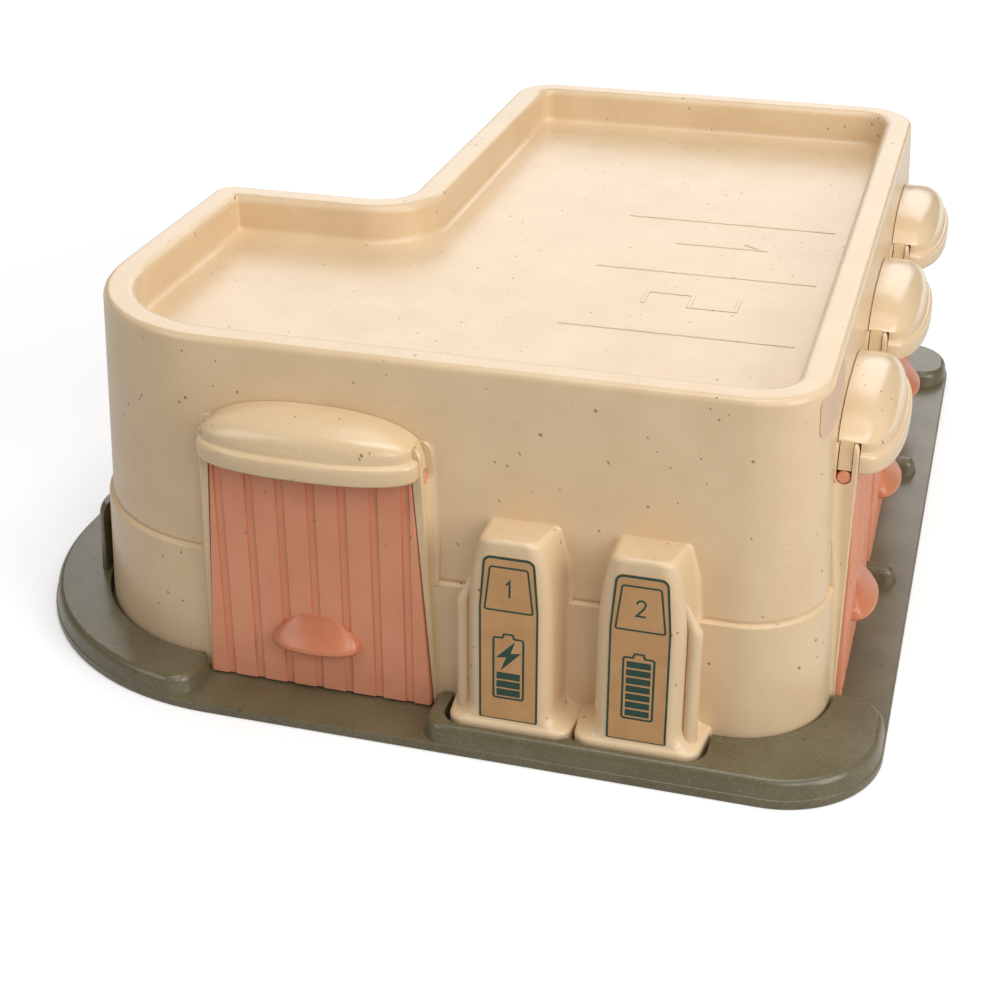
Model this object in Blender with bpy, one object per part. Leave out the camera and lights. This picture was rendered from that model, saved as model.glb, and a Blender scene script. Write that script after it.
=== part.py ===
"""Toy garage with a roof deck, four flap doors and two charging pillars.

Metres, +Z up, base plate on z = 0, the single door on the -Y side and the row of
three doors on the +X side.
"""
import math

import bmesh
import bpy
from mathutils import Matrix, Vector

MM = 0.001

# Base plate
BASE_W = 343.0 * MM
BASE_D = 390.0 * MM
BASE_R_FRONT_LEFT = 101.0 * MM
BASE_R_FRONT_RIGHT = 48.0 * MM
BASE_R_BACK_RIGHT = 22.0 * MM
BASE_R_BACK_LEFT = 40.0 * MM
SLAB_H = 3.7 * MM
SLAB_EDGE = 0.5 * MM
PLATFORM_H = 10.5 * MM
PLATFORM_FACE_H = 6.8 * MM
PLATFORM_LEAN = 1.6 * MM
PLATFORM_ROUND = 3.8 * MM
PLATFORM_END_R = 10.0 * MM
PLATFORM_SIDE_R = 14.0 * MM
CURB_REACH = 16.0 * MM
CURB_R = 4.5 * MM
CURB_ROLL = 2.2 * MM
RIB_W = 8.0 * MM
POCKET_DEPTH = 1.4 * MM
POCKET_MARGIN = 5.0 * MM
POCKET_R = 12.0 * MM

# Body shell, measured at the level of the platforms
BODY_LEFT = -BASE_W / 2.0 + 29.0 * MM
BODY_RIGHT = BASE_W / 2.0 - 22.0 * MM
BODY_FRONT = -BASE_D / 2.0 + 24.5 * MM
BODY_BACK = BASE_D / 2.0 - 5.5 * MM
BODY_TOP = 135.5 * MM
BODY_MID_X = (BODY_LEFT + BODY_RIGHT) / 2.0
BODY_MID_Y = (BODY_FRONT + BODY_BACK) / 2.0
WING_BACK = BODY_MID_Y - 10.0 * MM
NOTCH_X = BODY_MID_X - 63.0 * MM
DRAFT = math.radians(2.95)
WALL = 3.0 * MM
BAND_TOP = 53.4 * MM
BAND_STEP = 1.4 * MM
GROOVE_DEPTH = 0.5 * MM
GROOVE_H = 0.8 * MM
R_FRONT_LEFT = 64.0 * MM
FRONT_LEFT_SHRINK = 0.5
R_FRONT_RIGHT = 33.0 * MM
R_BACK_RIGHT = 32.0 * MM
R_BACK_LEFT = 26.0 * MM
R_WING_BACK = 16.0 * MM
R_NOTCH = 8.0 * MM
RIM_W = 12.0 * MM
RIM_ROUND_OUT = 2.0 * MM
RIM_ROUND_IN = 3.0 * MM
DECK_Z = BODY_TOP - 15.8 * MM
DECK_T = 3.0 * MM

# Gaps between separate pieces
SEAT_GAP = 0.3 * MM
FOOT_GAP = 0.8 * MM
SWING_GAP = 0.5 * MM

# Doors
FRONT_DOOR_X = BODY_LEFT + 109.8 * MM
SIDE_DOOR_PITCH = (BODY_BACK - BODY_FRONT) * 0.275
SIDE_DOOR_MID_Y = BODY_MID_Y + 1.0 * MM
BAY_HALF = SIDE_DOOR_PITCH / 2.0 - 5.5 * MM
OPENING_HALF = BAY_HALF - 10.5 * MM
OPENING_TOP = 86.0 * MM
OPENING_R = 8.0 * MM
DOOR_T = 3.2 * MM
DOOR_HALF_BOTTOM = BAY_HALF - 0.8 * MM
DOOR_HALF_TOP = BAY_HALF - 6.4 * MM
DOOR_LIFT = 0.8 * MM
DOOR_WALL_GAP = 0.5 * MM
PLANK_PITCH = (DOOR_HALF_TOP - 2.5 * MM) / 3.0
PLANK_GROOVE_W = 3.2 * MM
PLANK_GROOVE_D = 0.8 * MM
PLANK_GROOVES = 7
HANDLE_HALF = 17.0 * MM
HANDLE_REACH = 8.0 * MM
HANDLE_Z = 23.0 * MM
HANDLE_LIP = 2.6 * MM
HANDLE_RISE = 10.0 * MM

# Hinge
PIN_Z = 95.0 * MM
PIN_R = 2.35 * MM
PIN_BACK = 4.45 * MM
PIN_SLOT_GAP = 0.25 * MM
LEAF_OFF_PIN = 1.2 * MM

# Jambs, the cheeks that carry the hinge pins
JAMB_PROUD = 1.5 * MM
JAMB_HALF_TOP = BAY_HALF - 2.4 * MM
JAMB_HALF_BOTTOM = BAY_HALF + 0.7 * MM
JAMB_TOP = 107.0 * MM
JAMB_ROUND = 4.0 * MM

# Hoods over the hinge slots
HOOD_HALF = BAY_HALF - 3.2 * MM
HOOD_REACH = 14.0 * MM
HOOD_BOTTOM = 96.5 * MM
HOOD_LIP_H = 7.0 * MM
HOOD_LIP_STEP = 2.2 * MM
HOOD_CREST = 115.9 * MM
HOOD_DOME_HALF = HOOD_HALF - 0.6 * MM
HOOD_CREST_SHARE = 0.985
HOOD_POWER = 2.3
HOOD_WALL = 1.8 * MM
HOOD_FLANGE_HALF = HOOD_HALF + 0.2 * MM
HOOD_FLANGE_T = 1.3 * MM
HOOD_FLANGE_REACH = 4.0 * MM
KEEPER_RECESS = 0.8 * MM
TAB_W = 8.0 * MM
TAB_T = 2.4 * MM
TAB_X = OPENING_HALF - 11.5 * MM
TAB_LEN = 5.5 * MM
TAB_Z = 110.5 * MM

# Charging pillars
PILLAR_X = (FRONT_DOOR_X + 75.9 * MM, FRONT_DOOR_X + 121.5 * MM)
PILLAR_FRONT_TOP = BODY_FRONT - 14.7 * MM
PILLAR_FRONT_FOOT = BODY_FRONT - 17.1 * MM
PILLAR_TOP = 84.2 * MM
PILLAR_HALF = 15.2 * MM
PILLAR_HALF_TOP = 11.4 * MM
PILLAR_KINK_Z = 58.0 * MM
PILLAR_R = 3.6 * MM
PILLAR_FLARE = 1.6 * MM
PILLAR_WALL = 2.6 * MM
FLANGE_HALF = 22.3 * MM
FLANGE_FRONT = BODY_FRONT - 18.9 * MM
FLANGE_TOP = 12.9 * MM
FLANGE_R = 7.0 * MM
CABLE_HALF = 20.4 * MM
CABLE_SET_BACK = 5.0 * MM
CABLE_TOP = 68.0 * MM
CABLE_SHOULDER = 57.0 * MM

# Labels
LABEL_T = 0.25 * MM
LABEL_GAP = 0.06 * MM
LABEL_HALF = 10.5 * MM
LABEL_HALF_TOP = 9.0 * MM
LABEL_BOTTOM = 13.9 * MM
LABEL_KINK_Z = 58.5 * MM
LABEL_TOP = 78.6 * MM
LABEL_R = 3.0 * MM
LABEL_SHIFT = 0.35 * MM
SIDE_LABEL_BOTTOM = BODY_TOP - 17.0 * MM
SIDE_LABEL_TOP = BODY_TOP - 3.2 * MM
SIDE_LABEL_TURN = 30.0
SIDE_LABEL_END_Y = BODY_FRONT + 58.5 * MM

# Latch tongue of the base plate on the left wall
LATCH_Y = BODY_FRONT + 53.5 * MM
LATCH_HALF = 11.0 * MM
LATCH_REACH = 5.0 * MM
LATCH_TOP = 39.4 * MM
LATCH_NUB_HALF = 6.0 * MM
LATCH_NUB_Z = 31.0 * MM
LATCH_NUB_H = 3.0 * MM
LATCH_NUB_LEN = 4.0 * MM

# Raised marks on the roof deck
MARK_H = 0.5 * MM
MARK_W = 1.5 * MM
LANE_X0 = BODY_RIGHT - 116.5 * MM
LANE_LEN = 88.0 * MM
LANE_PITCH = SIDE_DOOR_PITCH - 37.5 * MM
LANE_Y = [BODY_MID_Y + 33.0 * MM - k * LANE_PITCH for k in range(3)]
DIGIT_X0 = LANE_X0 + 26.0 * MM
DIGIT_LEN = 36.0 * MM
DIGIT_W = 12.0 * MM
DIGIT_MARGIN = 27.0 * MM

# Facets
CORNER_SEGS = 8
BASE_SEGS = 12
SMALL_SEGS = 5
HOOD_SEGS = 24
PIN_SEGS = 24

for old in list(bpy.data.objects):
    bpy.data.objects.remove(old, do_unlink=True)


def material(name, rgb, roughness, metallic=0.0):
    """A plain surface with the colour seen in the picture."""
    mat = bpy.data.materials.new(name)
    mat.use_nodes = True
    shader = mat.node_tree.nodes["Principled BSDF"]
    shader.inputs["Base Color"].default_value = (rgb[0], rgb[1], rgb[2], 1.0)
    shader.inputs["Roughness"].default_value = roughness
    shader.inputs["Metallic"].default_value = metallic
    mat.diffuse_color = (rgb[0], rgb[1], rgb[2], 1.0)
    return mat


MAT_BODY = material("body_beige", (0.62, 0.47, 0.31), 0.42)
MAT_HOOD = material("hood_beige", (0.68, 0.51, 0.31), 0.32)
MAT_BASE = material("base_olive", (0.17, 0.145, 0.10), 0.45)
MAT_DOOR = material("door_terracotta", (0.52, 0.20, 0.125), 0.48)
MAT_LABEL = material("label_kraft", (0.47, 0.27, 0.12), 0.65)
MAT_STICKER = material("label_pale", (0.66, 0.52, 0.42), 0.6)


def fillet_outline(corners, segs=CORNER_SEGS):
    """Closed outline from corners (x, y, radius), each rounded with an arc."""
    points = []
    count = len(corners)
    for i in range(count):
        x, y, radius = corners[i]
        here = Vector((x, y))
        back = Vector(corners[i - 1][:2]) - here
        ahead = Vector(corners[(i + 1) % count][:2]) - here
        back.normalize()
        ahead.normalize()
        half = math.acos(max(-1.0, min(1.0, back.dot(ahead)))) / 2.0
        if radius <= 1e-7 or half > math.radians(89.5):
            points.append((x, y))
            continue
        reach = radius / math.tan(half)
        start = here + back * reach
        end = here + ahead * reach
        mid = (back + ahead).normalized()
        centre = here + mid * (radius / math.sin(half))
        a0 = math.atan2(start.y - centre.y, start.x - centre.x)
        a1 = math.atan2(end.y - centre.y, end.x - centre.x)
        turn = (a1 - a0 + math.pi) % (2.0 * math.pi) - math.pi
        for k in range(segs + 1):
            a = a0 + turn * k / segs
            spot = (centre.x + radius * math.cos(a), centre.y + radius * math.sin(a))
            if k or not points or math.dist(spot, points[-1]) > 1e-6:
                points.append(spot)
    return points


def add_object(name, bm, mat, smooth_deg=32.0):
    bmesh.ops.recalc_face_normals(bm, faces=bm.faces)
    mesh = bpy.data.meshes.new(name)
    bm.to_mesh(mesh)
    bm.free()
    obj = bpy.data.objects.new(name, mesh)
    bpy.context.collection.objects.link(obj)
    if mat is not None:
        mesh.materials.append(mat)
    finish_shading(obj, smooth_deg)
    return obj


def finish_shading(obj, smooth_deg=32.0):
    obj.data.shade_smooth()
    obj.data.set_sharp_from_angle(angle=math.radians(smooth_deg))


def loft(name, sections, mat=None, place=None):
    """Closed solid through rings of equal length, each ring a list of 3D points."""
    bm = bmesh.new()
    rings = []
    for ring in sections:
        rings.append([bm.verts.new(place(p) if place else p) for p in ring])
    for low, high in zip(rings[:-1], rings[1:]):
        for k in range(len(low)):
            j = (k + 1) % len(low)
            bm.faces.new((low[k], low[j], high[j], high[k]))
    bm.faces.new(list(reversed(rings[0])))
    bm.faces.new(rings[-1])
    return add_object(name, bm, mat)


def flat_ring(outline, z):
    return [(x, y, z) for x, y in outline]


def prism(name, outline, z0, z1, mat=None, place=None):
    return loft(name, [flat_ring(outline, z0), flat_ring(outline, z1)], mat, place)


def block(name, x0, x1, y0, y1, z0, z1, mat=None, place=None):
    return prism(name, [(x0, y0), (x1, y0), (x1, y1), (x0, y1)], z0, z1, mat, place)


def combine(target, tool, operation, solver):
    """Join or cut a solid with another one, which is used up."""
    mod = target.modifiers.new("combine", "BOOLEAN")
    mod.operation = operation
    mod.solver = solver
    mod.object = tool
    bpy.context.view_layer.update()
    graph = bpy.context.evaluated_depsgraph_get()
    mesh = bpy.data.meshes.new_from_object(target.evaluated_get(graph))
    target.modifiers.clear()
    old = target.data
    target.data = mesh
    name = old.name
    bpy.data.meshes.remove(old)
    mesh.name = name
    used = tool.data
    bpy.data.objects.remove(tool, do_unlink=True)
    bpy.data.meshes.remove(used)
    bm = bmesh.new()
    bm.from_mesh(mesh)
    bmesh.ops.remove_doubles(bm, verts=bm.verts, dist=1e-6)
    bmesh.ops.dissolve_degenerate(bm, dist=1e-6, edges=bm.edges)
    bm.to_mesh(mesh)
    bm.free()
    return target


def join(target, tool, solver="EXACT"):
    return combine(target, tool, "UNION", solver)


def cut(target, tool, solver="EXACT"):
    return combine(target, tool, "DIFFERENCE", solver)


# Body outline

def body_inset(z):
    """How far the outer wall lies inside its outline at the platforms."""
    lean = math.tan(DRAFT) * (z - PLATFORM_H)
    return lean + (BAND_STEP if z > BAND_TOP + GROOVE_H * 0.5 else 0.0)


def body_outline(lean, offset=0.0):
    """Outline drawn in by the walls' lean, and by an offset for their inside."""
    inset = lean + offset
    return fillet_outline([
        (BODY_LEFT + inset, BODY_FRONT + inset, R_FRONT_LEFT - lean * FRONT_LEFT_SHRINK - offset),
        (BODY_RIGHT - inset, BODY_FRONT + inset, R_FRONT_RIGHT - inset),
        (BODY_RIGHT - inset, BODY_BACK - inset, max(R_BACK_RIGHT - inset, 1.0 * MM)),
        (NOTCH_X + inset, BODY_BACK - inset, max(R_BACK_LEFT - inset, 1.0 * MM)),
        (NOTCH_X + inset, WING_BACK - inset, R_NOTCH + inset),
        (BODY_LEFT + inset, WING_BACK - inset, max(R_WING_BACK - inset, 1.0 * MM)),
    ])


TOP_INSET = body_inset(BODY_TOP)
BODY_FOOT_Z = SLAB_H + SEAT_GAP


def body_sections(offset, z_low, z_high):
    """Rings of the outer wall, moved inwards by offset, between two heights."""
    rings = [(z_low, body_inset(z_low))]
    if z_low < BAND_TOP:
        lean = body_inset(BAND_TOP)
        rings.append((BAND_TOP, lean))
        rings.append((BAND_TOP + GROOVE_H * 0.6, lean + BAND_STEP + GROOVE_DEPTH))
        rings.append((BAND_TOP + GROOVE_H * 1.4, body_inset(BAND_TOP + GROOVE_H * 1.4)))
    rings.append((z_high, body_inset(z_high)))
    return [flat_ring(body_outline(lean, offset), z) for z, lean in rings]


def inner_sections(offset, z_low, z_high):
    """Plain drafted rings for the hollow inside, clear of the groove."""
    steps = [z_low, BAND_TOP - WALL, BAND_TOP + GROOVE_H, z_high]
    rings = []
    for z in steps:
        lean = math.tan(DRAFT) * (z - PLATFORM_H) + (BAND_STEP if z > BAND_TOP - WALL * 0.5 else 0.0)
        rings.append(flat_ring(body_outline(lean, offset), z))
    return rings


def rim_sections():
    rings = body_sections(0.0, BODY_FOOT_Z, BODY_TOP - RIM_ROUND_OUT)
    for k in range(1, 4):
        a = math.pi / 2.0 * k / 3.0
        z = BODY_TOP - RIM_ROUND_OUT + RIM_ROUND_OUT * math.sin(a)
        rings.append(flat_ring(body_outline(TOP_INSET, RIM_ROUND_OUT * (1.0 - math.cos(a))), z))
    return rings


def tray_sections(offset, z_low, z_high):
    """Rings of the sunk roof tray, with its upper edge rounded outwards."""
    edge = RIM_W + offset
    rings = [flat_ring(body_outline(TOP_INSET, edge), z) for z in (z_low, BODY_TOP - RIM_ROUND_IN)]
    for k in range(1, 4):
        a = math.pi / 2.0 * k / 3.0
        z = BODY_TOP - RIM_ROUND_IN * (1.0 - math.sin(a))
        rings.append(flat_ring(body_outline(TOP_INSET, edge - RIM_ROUND_IN * (1.0 - math.cos(a))), z))
    rings.append(flat_ring(body_outline(TOP_INSET, edge - RIM_ROUND_IN), z_high))
    return rings


# Door bays: local x runs along the wall, local y points out of the wall

JAMB_FRONT_Y = BODY_FRONT - JAMB_PROUD
JAMB_FRONT_X = BODY_RIGHT + JAMB_PROUD
SIDE_DOOR_Y = [SIDE_DOOR_MID_Y + k * SIDE_DOOR_PITCH for k in (-1, 0, 1)]


def place_front(p):
    return (FRONT_DOOR_X + p[0], JAMB_FRONT_Y - p[1], p[2])


def place_side(y_mid):
    def place(p):
        return (JAMB_FRONT_X + p[1], y_mid + p[0], p[2])
    return place


BAYS = [("front", place_front)]
for number, y_mid in enumerate(SIDE_DOOR_Y, 1):
    BAYS.append(("side_%d" % number, place_side(y_mid)))


def wall_out(z):
    """Local y of the wall's outer face at a door, zero at the jambs' front."""
    return -JAMB_PROUD - body_inset(z)


def jamb_half(z):
    share = (z - PLATFORM_H) / (PIN_Z - PLATFORM_H)
    return JAMB_HALF_BOTTOM + (JAMB_HALF_TOP - JAMB_HALF_BOTTOM) * share


def door_half(z):
    low = SLAB_H + DOOR_LIFT
    share = (z - low) / (PIN_Z - low)
    return DOOR_HALF_BOTTOM + (DOOR_HALF_TOP - DOOR_HALF_BOTTOM) * share


def jamb_pair(place):
    """The two cheeks beside a door, with a slot that is open at the top."""
    for side in (-1.0, 1.0):
        rings = []
        levels = [BODY_FOOT_Z, BAND_TOP, JAMB_TOP - JAMB_ROUND]
        levels += [JAMB_TOP - JAMB_ROUND * 0.5, JAMB_TOP - JAMB_ROUND * 0.134, JAMB_TOP]
        sinks = [0.0, 0.0, 0.0, JAMB_ROUND * 0.134, JAMB_ROUND * 0.5, JAMB_ROUND]
        for z, sink in zip(levels, sinks):
            inner = side * (door_half(min(z, PIN_Z)) + SWING_GAP)
            outer = side * jamb_half(z)
            back = wall_out(z) - WALL * 0.5
            ring = [(inner, back, z), (inner, -sink, z), (outer, -sink, z), (outer, back, z)]
            rings.append(ring if side > 0 else ring[::-1])
        cheek = loft("cheek", rings, None, place)
        slot_r = PIN_R + PIN_SLOT_GAP
        lo = side * (DOOR_HALF_TOP - 2.0 * MM)
        hi = side * (JAMB_HALF_BOTTOM + 2.0 * MM)
        profile = []
        for k in range(PIN_SEGS // 2 + 1):
            a = math.pi + math.pi * k / (PIN_SEGS // 2)
            profile.append((-PIN_BACK + slot_r * math.cos(a), PIN_Z + slot_r * math.sin(a)))
        profile.append((-PIN_BACK + slot_r, JAMB_TOP + 2.0 * MM))
        profile.append((-PIN_BACK - slot_r, JAMB_TOP + 2.0 * MM))
        rings = [[(x, y, z) for y, z in profile] for x in sorted((lo, hi))]
        slot = loft("slot", rings, None, place)
        yield cut(cheek, slot)


def opening_cutter(place):
    """The doorway through the wall behind a door."""
    outline = [(-OPENING_HALF, BODY_FOOT_Z - 2.0 * MM), (OPENING_HALF, BODY_FOOT_Z - 2.0 * MM)]
    for cx, a0 in ((OPENING_HALF - OPENING_R, 0.0), (-OPENING_HALF + OPENING_R, math.pi / 2.0)):
        for k in range(SMALL_SEGS + 1):
            a = a0 + math.pi / 2.0 * k / SMALL_SEGS
            outline.append((cx + OPENING_R * math.cos(a), OPENING_TOP - OPENING_R + OPENING_R * math.sin(a)))
    depth = (-2.0 * WALL + wall_out(OPENING_TOP), 1.0 * MM)
    return loft("doorway", [[(x, y, z) for x, z in outline] for y in depth], None, place)


# Pillars

def pillar_front(z):
    share = (z - PLATFORM_H) / (PILLAR_TOP - PLATFORM_H)
    return PILLAR_FRONT_FOOT + (PILLAR_FRONT_TOP - PILLAR_FRONT_FOOT) * share


def pillar_ring(x_mid, z, half, front, radius, back):
    flared = half + PILLAR_FLARE
    corners = [
        (x_mid - half, front, radius),
        (x_mid + half, front, radius),
        (x_mid + flared, back, 0.0),
        (x_mid - flared, back, 0.0),
    ]
    return flat_ring(fillet_outline(corners, SMALL_SEGS), z)


def pillar_solid(x_mid, cable_side, shrink=0.0):
    """One pillar from its foot flange to its cap, its back inside the wall."""
    back = BODY_FRONT + body_inset(BODY_TOP) * 0.5 + WALL * 0.5
    levels = [
        (BODY_FOOT_Z, FLANGE_HALF, FLANGE_FRONT, FLANGE_R),
        (FLANGE_TOP - 1.5 * MM, FLANGE_HALF, FLANGE_FRONT, FLANGE_R),
        (FLANGE_TOP, FLANGE_HALF - 1.2 * MM, FLANGE_FRONT + 0.9 * MM, FLANGE_R - 1.2 * MM),
        (FLANGE_TOP + 0.9 * MM, PILLAR_HALF + 2.0 * MM, pillar_front(FLANGE_TOP + 0.9 * MM), PILLAR_R),
        (FLANGE_TOP + 5.0 * MM, PILLAR_HALF + 0.4 * MM, pillar_front(FLANGE_TOP + 5.0 * MM), PILLAR_R),
        (PILLAR_KINK_Z, PILLAR_HALF, pillar_front(PILLAR_KINK_Z), PILLAR_R),
        (PILLAR_TOP - 4.0 * MM, PILLAR_HALF_TOP + 1.0 * MM, pillar_front(PILLAR_TOP - 4.0 * MM), PILLAR_R),
        (PILLAR_TOP - 1.2 * MM, PILLAR_HALF_TOP, pillar_front(PILLAR_TOP) + 0.2 * MM, PILLAR_R),
        (PILLAR_TOP, PILLAR_HALF_TOP - 1.6 * MM, pillar_front(PILLAR_TOP) + 1.6 * MM, PILLAR_R - 1.0 * MM),
    ]
    rings = []
    for z, half, front, radius in levels:
        top_cut = shrink if z > PILLAR_KINK_Z else 0.0
        low = -2.0 * MM if shrink and z == BODY_FOOT_Z else 0.0
        keep = half - shrink
        round_r = max(radius - shrink, 0.6 * MM)
        deep = back + (2.0 * WALL if shrink else 0.0)
        rings.append(pillar_ring(x_mid, z - top_cut + low, keep, front + shrink, round_r, deep))
    body = loft("pillar", rings)
    if shrink:
        return body
    inner = x_mid + cable_side * (PILLAR_HALF - 3.0 * MM)
    outer = x_mid + cable_side * CABLE_HALF
    lead = []
    for z, reach in (
        (BODY_FOOT_Z + 1.0 * MM, outer),
        (CABLE_SHOULDER, outer),
        (CABLE_TOP, x_mid + cable_side * (PILLAR_HALF - 1.6 * MM)),
    ):
        x0, x1 = sorted((inner, reach))
        front = pillar_front(z) + CABLE_SET_BACK
        r0, r1 = (1.6 * MM, 0.2 * MM) if cable_side < 0 else (0.2 * MM, 1.6 * MM)
        r_cap = (x1 - x0) * 0.45
        corners = [
            (x0, front, min(r0, r_cap)),
            (x1, front, min(r1, r_cap)),
            (x1, back, 0.0),
            (x0, back, 0.0),
        ]
        lead.append(flat_ring(fillet_outline(corners, SMALL_SEGS), z))
    return join(body, loft("cable_relief", lead))


CABLE_SIDES = (-1.0, 1.0)


# Roof marks

def ribbon(points, width):
    """Outline of a flat stroke along a line of points."""
    left = []
    right = []
    last = len(points) - 1
    for i, p in enumerate(points):
        here = Vector(p)
        before = (here - Vector(points[i - 1])).normalized() if i > 0 else None
        after = (Vector(points[i + 1]) - here).normalized() if i < last else None
        if before is None:
            before = after
        if after is None:
            after = before
        normal = Vector((-(before.y + after.y), before.x + after.x)).normalized()
        reach = width / 2.0 / max(0.35, normal.dot(Vector((-before.y, before.x))))
        left.append(tuple(here + normal * reach))
        right.append(tuple(here - normal * reach))
    return right + left[::-1]


def digit_points(kind):
    """Strokes of the bay numbers, as shares of their length and width."""
    if kind == 1:
        return [(0.0, 0.5), (1.0, 0.5), (0.78, 0.95)]
    return [(0.0, 0.0), (0.0, 1.0), (0.5, 1.0), (0.5, 0.0), (1.0, 0.0), (1.0, 1.0)]


def roof_marks():
    z0 = DECK_Z - 0.8 * MM
    z1 = DECK_Z + MARK_H
    for y in LANE_Y:
        line = [(LANE_X0, y), (LANE_X0 + LANE_LEN, y)]
        yield prism("lane_line", ribbon(line, MARK_W), z0, z1)
    for kind, y_low in ((1, LANE_Y[1]), (2, LANE_Y[2])):
        y0 = y_low + DIGIT_MARGIN
        stroke = [(DIGIT_X0 + a * DIGIT_LEN, y0 + b * DIGIT_W) for a, b in digit_points(kind)]
        yield prism("bay_number", ribbon(stroke, MARK_W), z0, z1)


# Hood

def hood_ring(half, back, waist, front, z):
    """D-shaped ring: straight back and ends, then a full curve to the front."""
    ring = [(-half, back, z), (half, back, z)]
    power = 2.0 / HOOD_POWER
    for k in range(HOOD_SEGS + 1):
        a = math.pi * k / HOOD_SEGS
        cx = math.copysign(abs(math.cos(a)) ** power, math.cos(a))
        sy = abs(math.sin(a)) ** power
        ring.append((half * cx, waist + (front - waist) * sy, z))
    return ring


HOOD_SEAT = JAMB_TOP + SEAT_GAP
HOOD_DOME_Z = HOOD_BOTTOM + HOOD_LIP_H


def dome_shape(z):
    """Half length and front of the dome at one height."""
    share = max(0.0, z - HOOD_DOME_Z) / (HOOD_CREST - HOOD_DOME_Z)
    share = min(share, HOOD_CREST_SHARE)
    depth = HOOD_REACH - HOOD_LIP_STEP - wall_out(HOOD_CREST)
    front = HOOD_REACH - HOOD_LIP_STEP - depth * (1.0 - math.sqrt(1.0 - share ** 2))
    return HOOD_DOME_HALF * (1.0 - share ** 2) ** (1.0 / HOOD_POWER), front


def dome_heights():
    rise = HOOD_CREST - HOOD_DOME_Z
    return [HOOD_DOME_Z + rise * share for share in (0.4, 0.55, 0.68, 0.79, 0.88, 0.94, HOOD_CREST_SHARE)]


def hood_back(z):
    return wall_out(z) + SEAT_GAP


def hood_solid(place, offset):
    """The lip in front of the jambs joined to the dome that sits on them."""
    hollow = offset > 0.0
    lip_back = -0.5 * MM if hollow else SEAT_GAP
    waist = lip_back + 0.2 * MM
    heights = [
        (HOOD_BOTTOM, 0.6 * MM),
        (HOOD_BOTTOM + 0.8 * MM, 0.0),
        (HOOD_DOME_Z - 0.8 * MM, 0.0),
        (HOOD_DOME_Z, 0.7 * MM),
    ]
    if hollow:
        heights = [(HOOD_BOTTOM - 2.0 * MM, 0.0), (HOOD_DOME_Z - HOOD_WALL, 0.0)]
    lip = []
    for z, tuck in heights:
        lip.append(hood_ring(HOOD_HALF - tuck - offset, lip_back, waist, HOOD_REACH - tuck - offset, z))
    solid = loft("hood_lip", lip, None, place)
    neck = []
    for z in (HOOD_DOME_Z - 4.0 * MM if hollow else HOOD_DOME_Z - 2.0 * MM, HOOD_SEAT + 0.4 * MM):
        half, front = dome_shape(z)
        neck.append(hood_ring(half - offset, lip_back, waist, front - offset, z))
    join(solid, loft("hood_neck", neck, None, place), "MANIFOLD")
    heights = [HOOD_SEAT] + dome_heights()
    if hollow:
        heights = [HOOD_SEAT - 2.0 * MM] + [z for z in heights if z < HOOD_CREST - HOOD_WALL * 1.5]
    dome = []
    for z in heights:
        half, front = dome_shape(z + offset * 0.6)
        back = hood_back(z) + offset * 1.2
        front = max(front - offset, back + 0.8 * MM)
        side = back + min((front - back) * 0.3, max(0.2 * MM, waist - back))
        dome.append(hood_ring(half - offset, back, side, front, z))
    return join(solid, loft("hood_dome", dome, None, place), "MANIFOLD")


def hood_flange(place):
    """Thin flange of a hood that lies on the jambs' tops."""
    back = hood_back(HOOD_SEAT + HOOD_FLANGE_T)
    rings = []
    for share, tuck in ((0.0, 0.0), (0.5, 0.0), (1.0, 0.6 * MM)):
        z = HOOD_SEAT + HOOD_FLANGE_T * share
        half = HOOD_FLANGE_HALF - tuck
        outline = fillet_outline([
            (-half, back, 0.0), (half, back, 0.0),
            (half, HOOD_FLANGE_REACH - tuck, 3.0 * MM), (-half, HOOD_FLANGE_REACH - tuck, 3.0 * MM),
        ], SMALL_SEGS)
        rings.append(flat_ring(outline, z))
    return loft("hood_flange", rings, None, place)


def keeper(side, place):
    """Tongue of a hood that fills a hinge slot above the pin."""
    inner = door_half(PIN_Z) + SWING_GAP + 0.2 * MM
    outer = jamb_half(PIN_Z) - KEEPER_RECESS
    x0, x1 = sorted((side * inner, side * outer))
    half = PIN_R + PIN_SLOT_GAP - SEAT_GAP
    return block(
        "keeper", x0, x1, -PIN_BACK - half, -PIN_BACK + half,
        PIN_Z + PIN_R + SEAT_GAP, HOOD_SEAT + HOOD_FLANGE_T * 0.4, None, place)


def tab_box(x_mid, gap, place, name):
    """A snap tab of a hood, or with a gap the slot in the wall for it."""
    back = wall_out(TAB_Z) - TAB_LEN - gap
    front = wall_out(TAB_Z) + 1.4 * MM + gap
    return block(
        name, x_mid - TAB_W / 2.0 - gap, x_mid + TAB_W / 2.0 + gap,
        back, front, TAB_Z - TAB_T / 2.0 - gap, TAB_Z + TAB_T / 2.0 + gap, None, place)


# Base plate

def inset_corners(corners, inset):
    """Corners (x, y, radius) of an outline whose edges have all moved inwards."""
    moved = []
    count = len(corners)
    for i in range(count):
        x, y, radius = corners[i]
        here = Vector((x, y))
        before = (here - Vector(corners[i - 1][:2])).normalized()
        after = (Vector(corners[(i + 1) % count][:2]) - here).normalized()
        mid = Vector((-before.y - after.y, before.x + after.x)).normalized()
        reach = inset / mid.dot(Vector((-before.y, before.x)))
        spot = here + mid * reach
        moved.append((spot.x, spot.y, max(radius - inset, 0.5 * MM)))
    return moved


def base_outline(inset):
    hw = BASE_W / 2.0
    hd = BASE_D / 2.0
    corners = [
        (-hw, -hd, BASE_R_FRONT_LEFT),
        (hw, -hd, BASE_R_FRONT_RIGHT),
        (hw, hd, BASE_R_BACK_RIGHT),
        (-hw, hd, BASE_R_BACK_LEFT),
    ]
    return fillet_outline(inset_corners(corners, inset), BASE_SEGS)


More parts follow.
